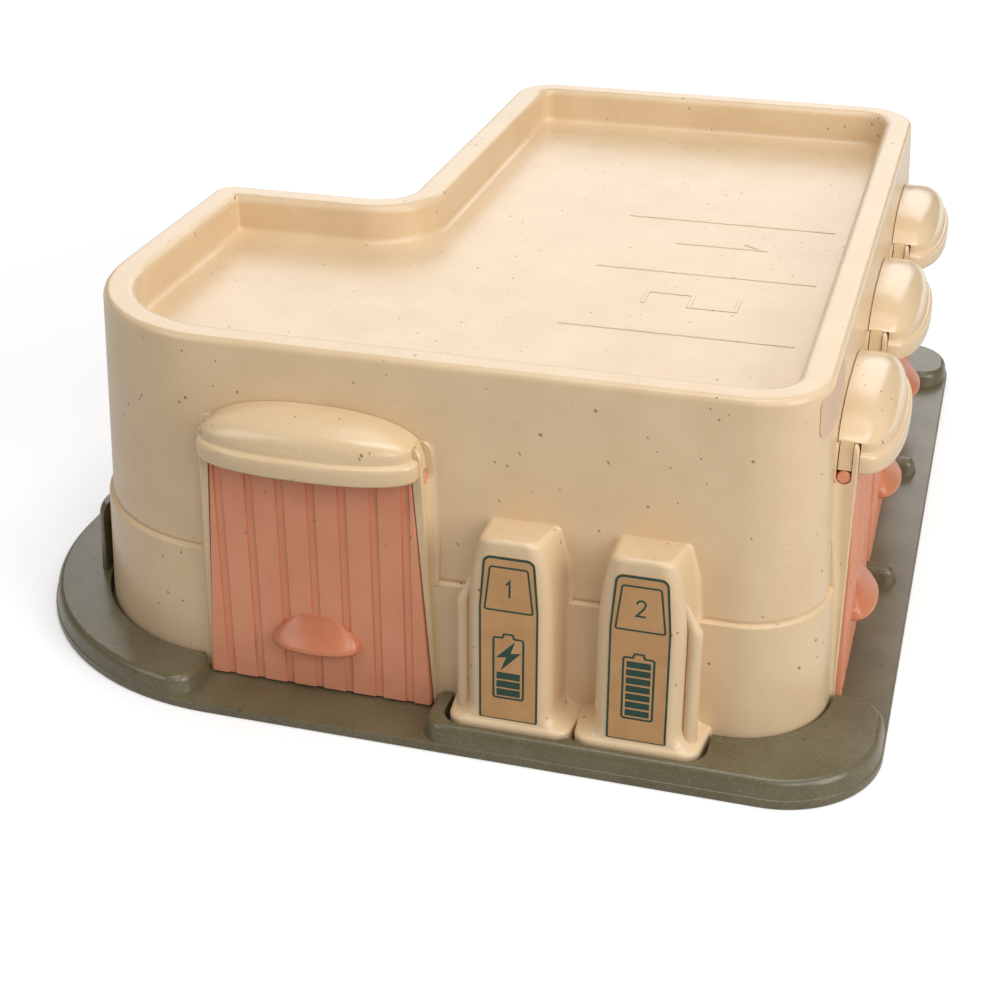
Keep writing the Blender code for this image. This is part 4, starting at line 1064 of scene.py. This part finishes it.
def pillar_recess(x_mid):
    """Outline of the recess in the pavement for a pillar's foot."""
    half = FOOT_HALF + 2.2 * MM
    front = FOOT_FRONT - 0.8 * MM
    back = BODY_FRONT + 5.0 * MM
    return fillet_outline([
        (x_mid - half, front, FOOT_RECESS_R), (x_mid + half, front, FOOT_RECESS_R),
        (x_mid + half, back, 0.0), (x_mid - half, back, 0.0),
    ], SMALL_SEGS)


def pockets():
    """Outlines of the four shallow pockets under the plate."""
    for outer, sx, sy in ((0, -1.0, -1.0), (3, -1.0, 1.0), (1, 1.0, -1.0), (2, 1.0, 1.0)):
        x0, x1 = sorted((sx * RIB_W / 2.0, sx * (BASE_W / 2.0 - POCKET_MARGIN)))
        y0, y1 = sorted((sy * RIB_W / 2.0, sy * (BASE_D / 2.0 - POCKET_MARGIN)))
        radii = [POCKET_R] * 4
        radii[outer] = BASE_ROUNDS[outer] - POCKET_MARGIN
        spots = ((x0, y0), (x1, y0), (x1, y1), (x0, y1))
        yield fillet_outline([(x, y, radius) for (x, y), radius in zip(spots, radii)])


def make_base():
    """The base plate with its pavements, kerbs, recesses, latch and pockets."""
    base = slab()
    for corners in platforms():
        join(base, platform(corners))
    over = PLATFORM_H + OVER
    cut(base, prism("recess", body_outline(body_inset(SLAB_H), -1.2 * MM), SLAB_H, over))
    for x_mid in PILLAR_X:
        cut(base, prism("pillar_recess", pillar_recess(x_mid), SLAB_H, over))
    half = jamb_half(0.0) + 0.8 * MM
    low = (-half, -JAMB_PROUD - 5.0 * MM, SLAB_H)
    for _, place in BAYS:
        cut(base, block("jamb_recess", low, (half, 0.8 * MM, over), place))
    join(base, latch_tongue())
    for outline in pockets():
        cut(base, prism("pocket", outline, -MM, POCKET_DEPTH))
    return dress(base, OLIVE)


# Doors

def leaf_front(z):
    """Local y of the door's front face, leaning out towards its foot."""
    top = -PIN_BACK + 1.2 * MM + DOOR_T
    foot = wall_out(PLATFORM_H) + 0.5 * MM + DOOR_T
    return foot + (top - foot) * (z - DOOR_LOW) / (PIN_Z - DOOR_LOW)


def leaf_ring(z, shrink=0.0):
    """Cross-section of the leaf with its row of grooves."""
    front = leaf_front(z)
    back = front - DOOR_T
    half = door_half(z) - shrink
    edge = [
        (half, back), (half, front - LEAF_EDGE),
        (half - LEAF_BEVEL, front - LEAF_BEVEL), (half - LEAF_EDGE, front)]
    ring = [(x, y, z) for x, y in edge]
    side = GROOVE_W / 2.0
    for k in range(GROOVES - 1, -1, -1):
        x = (k - (GROOVES - 1) / 2.0) * GROOVE_PITCH
        ring.append((x + side, front - shrink * 0.3, z))
        ring.append((x + side - GROOVE_SLANT, front - GROOVE_D, z))
        ring.append((x - side + GROOVE_SLANT, front - GROOVE_D, z))
        ring.append((x - side, front - shrink * 0.3, z))
    return ring + [(-x, y, z) for x, y in reversed(edge)]


def half_moon(z, reach, half):
    """Half-moon ring whose straight side lies inside the leaf."""
    front = leaf_front(z)
    ring = [(-half, front - DOOR_T * 0.5, z), (half, front - DOOR_T * 0.5, z)]
    for k in range(25):
        a = math.pi * k / 24.0
        ring.append((half * math.cos(a), front + reach * math.sin(a) ** 0.85, z))
    return ring


def handle(place):
    """Half-moon lip of a door that fades into the leaf above."""
    rings = []
    for up, reach, narrow in (
        (0.0, 0.86, 1.0), (0.3, 0.94, 0.4), (0.9, 1.0, 0.0), (1.9, 1.0, 0.0), (2.4, 0.97, 0.2),
    ):
        rings.append(half_moon(HANDLE_Z + up * MM, HANDLE_REACH * reach, HANDLE_HALF - narrow * MM))
    for k in range(1, 13):
        share = k / 12.0
        z = HANDLE_Z + HANDLE_LIP + HANDLE_RISE * share
        reach = 0.93 * (1.0 - share) ** 1.15 + 0.015
        rings.append(half_moon(z, HANDLE_REACH * reach, HANDLE_HALF * (1.0 - 0.68 * share ** 1.5)))
    return loft("handle", rings, place)


def finger_hollow(place):
    """Hollow under a handle for the fingertips."""
    rings = []
    for z, share in ((HANDLE_Z - MM, 0.68), (HANDLE_Z + HANDLE_LIP - MM, 0.62)):
        half = HANDLE_HALF * (share + 0.14)
        front = leaf_front(z)
        ring = [(-half, front + 0.4 * MM, z), (half, front + 0.4 * MM, z)]
        for k in range(1, 16):
            a = math.pi * k / 16.0
            ring.append((half * math.cos(a), front + 0.6 * MM + HANDLE_REACH * share * math.sin(a), z))
        rings.append(ring)
    return loft("finger_hollow", rings, place)


def hinge_pin(place):
    """Pin through the top of a leaf, with its ends eased."""
    end = jamb_half(PIN_Z) - SEAT_GAP
    thin = PIN_R - PIN_EDGE
    turns = [2.0 * math.pi * k / 32.0 for k in range(32)]
    rings = []
    for x, r in ((-end, thin), (-end + PIN_EDGE, PIN_R), (end - PIN_EDGE, PIN_R), (end, thin)):
        rings.append([(x, -PIN_BACK + r * math.cos(a), PIN_Z + r * math.sin(a)) for a in turns])
    return loft("pin", rings, place)


def make_door(label, place):
    """A flap door; its handle and pin take a smoother finish painted a deeper shade as painted shade, and
    the sides of its grooves that face the right lamp take the same finish as painted light.
    """
    levels = [(DOOR_LOW, 0.3 * MM), (DOOR_LOW + 0.3 * MM, 0.0), (PIN_Z + PIN_R - PIN_EDGE, 0.0)]
    leaf = loft("door_%s_moulding" % label, [leaf_ring(z, shrink) for z, shrink in levels], place)
    join(leaf, handle(place))
    cut(leaf, finger_hollow(place))
    join(leaf, hinge_pin(place))
    dress(leaf, TERRACOTTA)
    leaf.data.materials.append(HANDLE_SHADE_AND_GROOVE_LIGHT_TERRACOTTA)
    origin, across, outward = bay_axes(place)
    for face in leaf.data.polygons:
        spot = face.center - origin
        z = face.center.z
        out = spot.dot(outward) - leaf_front(z)
        # Painted light: groove walls that face the lamp on the right get the deeper, glossier orange, so
        # they show as bright lines
        lit = face.normal.dot(across) > 0.5 and -GROOVE_D < out < -0.1 * MM
        lit = lit and abs(spot.dot(across)) < door_half(z) - MM
        if lit or out > 0.05 * MM or z > PIN_Z + 0.3 * MM:
            face.material_index = 1
    return leaf


# Hoods

def hood_ring(half, back, waist, front, z):
    """D-shaped ring: straight back and ends, then a full curve to the front."""
    ring = [(-half, back, z), (half, back, z)]
    power = 2.0 / HOOD_POWER
    for k in range(49):
        a = math.pi * k / 48.0
        cx = math.copysign(abs(math.cos(a)) ** power, math.cos(a))
        ring.append((half * cx, waist + (front - waist) * abs(math.sin(a)) ** power, z))
    return ring


def dome_shape(share):
    """Half length, front and height of the dome at a share of its rise."""
    z = HOOD_LEDGE_Z + (HOOD_CREST - HOOD_LEDGE_Z) * share
    wall = wall_out(HOOD_CREST)
    reach = HOOD_REACH - HOOD_STEP - wall
    half = HOOD_DOME_HALF * (1.0 - share ** 2) ** (1.0 / HOOD_POWER)
    front = wall + reach * (1.0 - share ** 2.5) ** 0.4
    return min(half, HOOD_HALF - HOOD_STEP + 0.3 * MM * share), front, z


def hood_rings():
    """Levels of a hood: its rolled lip, the neck in front of the jambs and the dome."""
    lip_back = SEAT_GAP
    waist = lip_back + 0.2 * MM
    rings = []
    for z, tuck in (
        (96.5, 0.9), (96.6, 0.5), (96.9, 0.18), (97.5, 0.0), (99.6, -0.05), (101.4, 0.0), (102.3, 0.14),
        (102.9, 0.42), (103.3, 0.85), (103.45, 1.35), (103.55, 1.8), (103.8, 2.2),
    ):
        rings.append(hood_ring(HOOD_HALF - tuck * MM, lip_back, waist, HOOD_REACH - tuck * MM, z * MM))
    seat = (HOOD_SEAT - HOOD_LEDGE_Z) / (HOOD_CREST - HOOD_LEDGE_Z)
    for share in (0.06, 0.12, 0.18, 0.25, seat):
        half, front, z = dome_shape(share)
        rings.append(hood_ring(half, lip_back, waist, front, z))
    for share in (
        seat, 0.36, 0.43, 0.5, 0.57, 0.64, 0.7, 0.76, 0.81, 0.855, 0.89, 0.92, 0.945, 0.965, 0.98, 0.99,
    ):
        half, front, z = dome_shape(share)
        back = wall_out(z) + SEAT_GAP
        rings.append(hood_ring(half, back, back + (front - back) * 0.43, front, z))
    return rings


def hood_inside(place):
    """The hollow of the hood, open to the bottom of its lip."""
    rings = []
    for z in (HOOD_BOTTOM - OVER, HOOD_LEDGE_Z - HOOD_WALL - 0.3 * MM):
        rings.append(hood_ring(HOOD_HALF - HOOD_WALL, -0.5 * MM, 0.0, HOOD_REACH - HOOD_WALL, z))
    for z, share in ((HOOD_LEDGE_Z - MM, 0.0), (HOOD_SEAT - MM, 0.3)):
        half, front, _ = dome_shape(share)
        rings.append(hood_ring(half - HOOD_WALL, -0.5 * MM, 0.0, front - HOOD_WALL, z))
    low = loft("hood_hollow", rings, place)
    rings = []
    for share in (0.15, 0.45, 0.7, 0.8):
        half, front, z = dome_shape(share + 0.08)
        back = wall_out(z) + 2.4 * MM
        front = max(front - HOOD_WALL, back + MM)
        rings.append(hood_ring(half - 2.0 * HOOD_WALL, back, back + (front - back) * 0.4, front, z - MM))
    return join(low, loft("dome_hollow", rings, place))


def keeper(side, place):
    """Tongue of a hood that fills a hinge slot above the pin."""
    inner = door_half(PIN_Z) + 0.7 * MM
    back = -PIN_BACK - (PIN_R - 0.05 * MM)
    front = -PIN_BACK + (PIN_R - 0.05 * MM)
    rings = []
    for z, outer in (
        (PIN_Z + PIN_R + SEAT_GAP, jamb_half(PIN_Z) - KEEPER_RECESS),
        (JAMB_TOP - JAMB_ROUND, jamb_half(JAMB_TOP) - KEEPER_RECESS),
        (HOOD_SEAT + 0.5 * MM, inner + 0.4 * MM),
    ):
        spots = ((inner, back), (outer, back), (outer, front), (inner, front))
        rings.append([(side * x, y, z) for x, y in spots])
    return loft("keeper", rings, place)


def make_hood(label, place):
    """A hood with its two keepers and two snap tabs."""
    hood = loft("hood_%s_moulding" % label, hood_rings(), place)
    cut(hood, hood_inside(place))
    for side in (-1.0, 1.0):
        join(hood, keeper(side, place))
        join(hood, snap_tab(side * TAB_X, 0.0, place))
    return dress(hood, HOOD_BEIGE, 38.0)


# Labels

def label_spot(x_mid):
    """From label-local (across, out, height) to its place on the pillar."""
    def place(p):
        return (x_mid + LABEL_SHIFT + p[0], pillar_front(p[2]) - p[1], p[2])
    return place


def label_corners(half, low, kink, top, half_top, radius):
    """Corners of a pillar label, which narrows above its kink."""
    return [
        (-half, low, 0.5 * MM), (half, low, 0.5 * MM), (half, kink, 2.0 * MM),
        (half_top, top, radius), (-half_top, top, radius), (-half, kink, 2.0 * MM),
    ]


def standing(outline, out):
    """Outline (across, height) set upright at a distance out of the wall."""
    return [(x, out, z) for x, z in outline]


def flat_mark(outline, place):
    """A printed patch of a closed outline."""
    return loft("mark", [standing(outline, out) for out in PRINT_OUT], place)


def printed_line(outer, inner, place):
    """A printed line between two outlines of equal length."""
    bm = bmesh.new()
    count = len(outer)
    rings = []
    for outline in (outer, inner):
        for out in PRINT_OUT:
            rings.append([bm.verts.new(place(p)) for p in standing(outline, out)])
    for a, b in ((0, 1), (1, 3), (3, 2), (2, 0)):
        for k in range(count):
            j = (k + 1) % count
            bm.faces.new((rings[a][k], rings[a][j], rings[b][j], rings[b][k]))
    bmesh.ops.recalc_face_normals(bm, faces=bm.faces)
    return mesh_object("line", bm)


def gather(name, parts, mat):
    """One mesh of several loose marks."""
    bm = bmesh.new()
    for part in parts:
        bm.from_mesh(part.data)
        drop(part)
    obj = mesh_object(name, bm)
    obj.data.materials.append(mat)
    return obj


def battery_sign(place):
    """Outline of a battery with its cap."""
    outer = in_mm((
        (-5.7, 22.55, 1.2), (5.7, 22.55, 1.2), (5.7, 47.5, 1.2), (2.3, 47.5, 0.5),
        (1.9, 49.1, 0.6), (-1.9, 49.1, 0.6), (-2.3, 47.5, 0.5), (-5.7, 47.5, 1.2)))
    inner = in_mm((
        (-4.95, 23.3, 0.6), (4.95, 23.3, 0.6), (4.95, 46.8, 0.6), (1.7, 46.8, 0.8),
        (1.3, 48.4, 0.3), (-1.3, 48.4, 0.3), (-1.7, 46.8, 0.8), (-4.95, 46.8, 0.6)))
    return printed_line(fillet_outline(outer, 4), fillet_outline(inner, 4), place)


def charge_bars(count, pitch, height, place):
    """The row of bars inside a battery sign."""
    first = (0.0, LABEL_FACE + INK / 2.0 - INK_SINK / 2.0, BAR_LOW)
    bars = bar_row("bars", count, first, (0.0, 0.0, pitch), (BAR_W, INK + INK_SINK, height), GREEN_INK)
    for vertex in bars.data.vertices:
        vertex.co = Vector(place(vertex.co))
    bm = bmesh.new()
    bm.from_mesh(bars.data)
    bmesh.ops.recalc_face_normals(bm, faces=bm.faces)
    bm.to_mesh(bars.data)
    bm.free()
    return bars


LABEL_DIGITS = {
    1: [(-0.9, 68.0), (0.3, 69.4), (0.3, 63.2)],
    2: [(-1.5, 68.0), (-1.0, 69.1), (0.2, 69.5), (1.3, 68.9),
        (1.5, 67.8), (0.9, 66.5), (-1.5, 63.5), (1.7, 63.5)],
}
BOLT = [(0.8, 41.2), (4.5, 41.8), (-2.8, 33.9), (-0.7, 39.6), (-4.4, 39.0), (2.4, 46.2)]
PANEL = [(-8.9, 57.5, 1.0), (8.9, 57.5, 1.0), (6.9, 74.9, 1.2), (-6.9, 74.9, 1.2)]


def make_pillar_label(side, x_mid, kind):
    """Paper and print of a pillar label: frame, panel with a bay number, battery sign."""
    place = label_spot(x_mid)
    corners = label_corners(LABEL_HALF, LABEL_BOTTOM, LABEL_KINK, LABEL_TOP, LABEL_HALF_TOP, 3.0 * MM)
    outline = fillet_outline(corners, 8)
    faces = [standing(outline, out) for out in (LABEL_SINK, LABEL_FACE)]
    paper = loft("label_%s_paper" % side, faces, place)
    dress(paper, KRAFT)
    inner = label_corners(
        LABEL_HALF - 0.72 * MM, LABEL_BOTTOM + 0.35 * MM, LABEL_KINK - 0.1 * MM,
        LABEL_TOP - 0.95 * MM, LABEL_HALF_TOP - 0.78 * MM, 2.2 * MM)
    panel = in_mm(PANEL)
    panel_inner = inset_corners(panel, 0.66 * MM)
    marks = [
        printed_line(outline, fillet_outline(inner, 8), place),
        printed_line(fillet_outline(panel, 4), fillet_outline(panel_inner, 4), place),
        battery_sign(place),
        flat_mark(ribbon(in_mm(LABEL_DIGITS[kind]), 0.7 * MM), place),
    ]
    if kind == 1:
        marks.append(charge_bars(3, 3.35 * MM, 2.7 * MM, place))
        marks.append(flat_mark(in_mm(BOLT), place))
    else:
        marks.append(charge_bars(7, 3.2 * MM, 2.45 * MM, place))
    return paper, gather("label_%s_print" % side, marks, GREEN_INK)


def make_corner_label():
    """Sticker on the right wall that runs on round the front corner."""
    first = WIDE_SEGS + 1
    count = WIDE_SEGS // 3

    def line(z, offset):
        """Points along the label at one height, from the front corner backwards."""
        arc = body_outline(body_inset(z), offset)[first:first + WIDE_SEGS + 1]
        points = [Vector(p) for p in arc[-count - 1:]]
        end = Vector((points[-1].x, SIDE_LABEL_END_Y))
        fine = []
        for a, b in zip(points[:-1], points[1:]):
            fine += [a.lerp(b, k / 3.0) for k in range(3)]
        return fine + [points[-1], end - Vector((0.0, SIDE_LABEL_R)), end]

    rings = []
    travel = 0.0
    track = line(SIDE_LABEL_LOW, 0.0)
    total = sum((b - a).length for a, b in zip(track[:-1], track[1:]))
    for i in range(len(track)):
        if i:
            travel += (track[i] - track[i - 1]).length
        near = min(travel, total - travel, SIDE_LABEL_R)
        cut_in = SIDE_LABEL_R - math.sqrt(max(0.0, SIDE_LABEL_R ** 2 - (SIDE_LABEL_R - near) ** 2))
        low = SIDE_LABEL_LOW + cut_in
        high = SIDE_LABEL_HIGH - cut_in
        ring = []
        for z, out in ((low, LABEL_FACE), (high, LABEL_FACE), (high, LABEL_SINK), (low, LABEL_SINK)):
            spot = line(z, -out)[i]
            ring.append((spot.x, spot.y, z))
        rings.append(ring)
    return dress(loft("label_corner_paper", rings), PALE_PAPER)


# Pieces on their bodies

body_shell = make_body()
base_plate = make_base()
for piece, node, finish in (
    (body_shell, "body_shell", "body_beige"),
    (base_plate, "base_plate", "base_olive"),
):
    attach(piece, "case")
    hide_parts(node)
for bay_label, bay_place in BAYS:
    door = make_door(bay_label, bay_place)
    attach(door, "door_" + bay_label)
    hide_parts("door_" + bay_label)
    hood = make_hood(bay_label, bay_place)
    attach(hood, "case")
    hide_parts("hood_" + bay_label)
for side_name, pillar_x, bay_number in (("left", PILLAR_X[0], 1), ("right", PILLAR_X[1], 2)):
    paper, ink = make_pillar_label(side_name, pillar_x, bay_number)
    for piece in (paper, ink):
        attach(piece, "case")
    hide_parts("label_pillar_" + side_name)
corner_label = make_corner_label()
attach(corner_label, "case")
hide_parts("side_label")


# Studio

LIT_MIDDLE = (0.0, 0.0, 0.06)
FLOOR_HALF = 4.0
FLOOR_NEAR = 0.4
FLOOR_FAR = 1.2
WHITE = (1.0, 1.0, 1.0, 1.0)


def studio_floor():
    """Pale floor that shows white to the camera and keeps the shadow."""
    mat = bpy.data.materials.new("studio_floor")
    mat.use_nodes = True
    tree = mat.node_tree
    tree.nodes.clear()
    seen = put(tree, "ShaderNodeLightPath").outputs
    shown = maths(tree, "MAXIMUM", seen["Is Camera Ray"], seen["Is Glossy Ray"])
    pale = blend_tones(tree, seen["Is Camera Ray"], (0.44, 0.42, 0.38, 1.0), (0.86, 0.86, 0.86, 1.0))
    paint = put(tree, "ShaderNodeBsdfDiffuse", {"Color": pale})
    place = put(tree, "ShaderNodeTexCoord").outputs["Object"]
    away = put(tree, "ShaderNodeVectorMath", {0: place}, operation="LENGTH").outputs["Value"]
    lift = maths(tree, "MULTIPLY", shown, spread(tree, away, FLOOR_NEAR, FLOOR_FAR, 0.3, 1.0))
    glow = put(tree, "ShaderNodeEmission", {"Color": WHITE, "Strength": lift})
    both = put(tree, "ShaderNodeAddShader", {0: paint.outputs[0], 1: glow.outputs[0]})
    put(tree, "ShaderNodeOutputMaterial", {"Surface": both.outputs[0]})
    bm = bmesh.new()
    bmesh.ops.create_grid(bm, x_segments=1, y_segments=1, size=FLOOR_HALF)
    floor = mesh_object("studio_floor", bm)
    floor.data.materials.append(mat)


def soft_lamp(name, spot, size, power):
    """Rectangular soft light that faces the middle of the toy."""
    lamp = bpy.data.lights.new(name, "AREA")
    lamp.shape = "RECTANGLE"
    lamp.size = size[0]
    lamp.size_y = size[1]
    lamp.energy = power
    obj = bpy.data.objects.new(name, lamp)
    obj.location = spot
    obj.rotation_euler = (Vector(LIT_MIDDLE) - Vector(spot)).to_track_quat("-Z", "Y").to_euler()
    bpy.context.scene.collection.objects.link(obj)


def studio_world():
    """Even dim light that the camera sees as white."""
    world = bpy.data.worlds.new("studio")
    bpy.context.scene.world = world
    world.use_nodes = True
    tree = world.node_tree
    tree.nodes.clear()
    seen = put(tree, "ShaderNodeLightPath").outputs
    strength = spread(tree, seen["Is Camera Ray"], 0.0, 1.0, 0.18, 1.0)
    sky = put(tree, "ShaderNodeBackground", {"Color": WHITE, "Strength": strength})
    put(tree, "ShaderNodeOutputWorld", {"Surface": sky.outputs[0]})


def photo_camera():
    """Camera that was fitted to the photograph."""
    yaw = math.radians(16.429)
    pitch = math.radians(28.595)
    roll = math.radians(-0.422)
    spot = Vector((0.1851, -0.6757, 0.3787))
    ahead = Vector((-math.sin(yaw) * math.cos(pitch), math.cos(yaw) * math.cos(pitch), -math.sin(pitch)))
    right = Vector((math.cos(yaw), math.sin(yaw), 0.0))
    up = right.cross(ahead)
    side = math.cos(roll) * right + math.sin(roll) * up
    top = -math.sin(roll) * right + math.cos(roll) * up
    camera = bpy.data.cameras.new("photo_camera")
    camera.lens = 63.77
    camera.sensor_width = 36.0
    camera.clip_start = 0.01
    obj = bpy.data.objects.new("photo_camera", camera)
    bpy.context.scene.collection.objects.link(obj)
    obj.matrix_world = Matrix((
        (side.x, top.x, -ahead.x, spot.x), (side.y, top.y, -ahead.y, spot.y),
        (side.z, top.z, -ahead.z, spot.z), (0.0, 0.0, 0.0, 1.0)))
    bpy.context.scene.camera = obj


studio_floor()
studio_world()
soft_lamp("top_panel", (0.15, 0.0, 1.4), (1.3, 1.1), 6.0)
soft_lamp("top_strip", (0.25, -0.32, 1.3), (1.1, 0.3), 3.4)
soft_lamp("right_panel", (1.25, -0.6, 0.62), (0.7, 0.9), 9.0)
soft_lamp("back_panel", (-0.3, 1.6, 0.85), (1.8, 0.9), 9.0)
soft_lamp("front_strip", (0.75, -1.2, 0.95), (0.6, 0.6), 4.0)
soft_lamp("left_panel", (-1.0, -0.9, 0.9), (0.7, 0.7), 3.2)
photo_camera()
bpy.context.scene.view_settings.view_transform = "Standard"
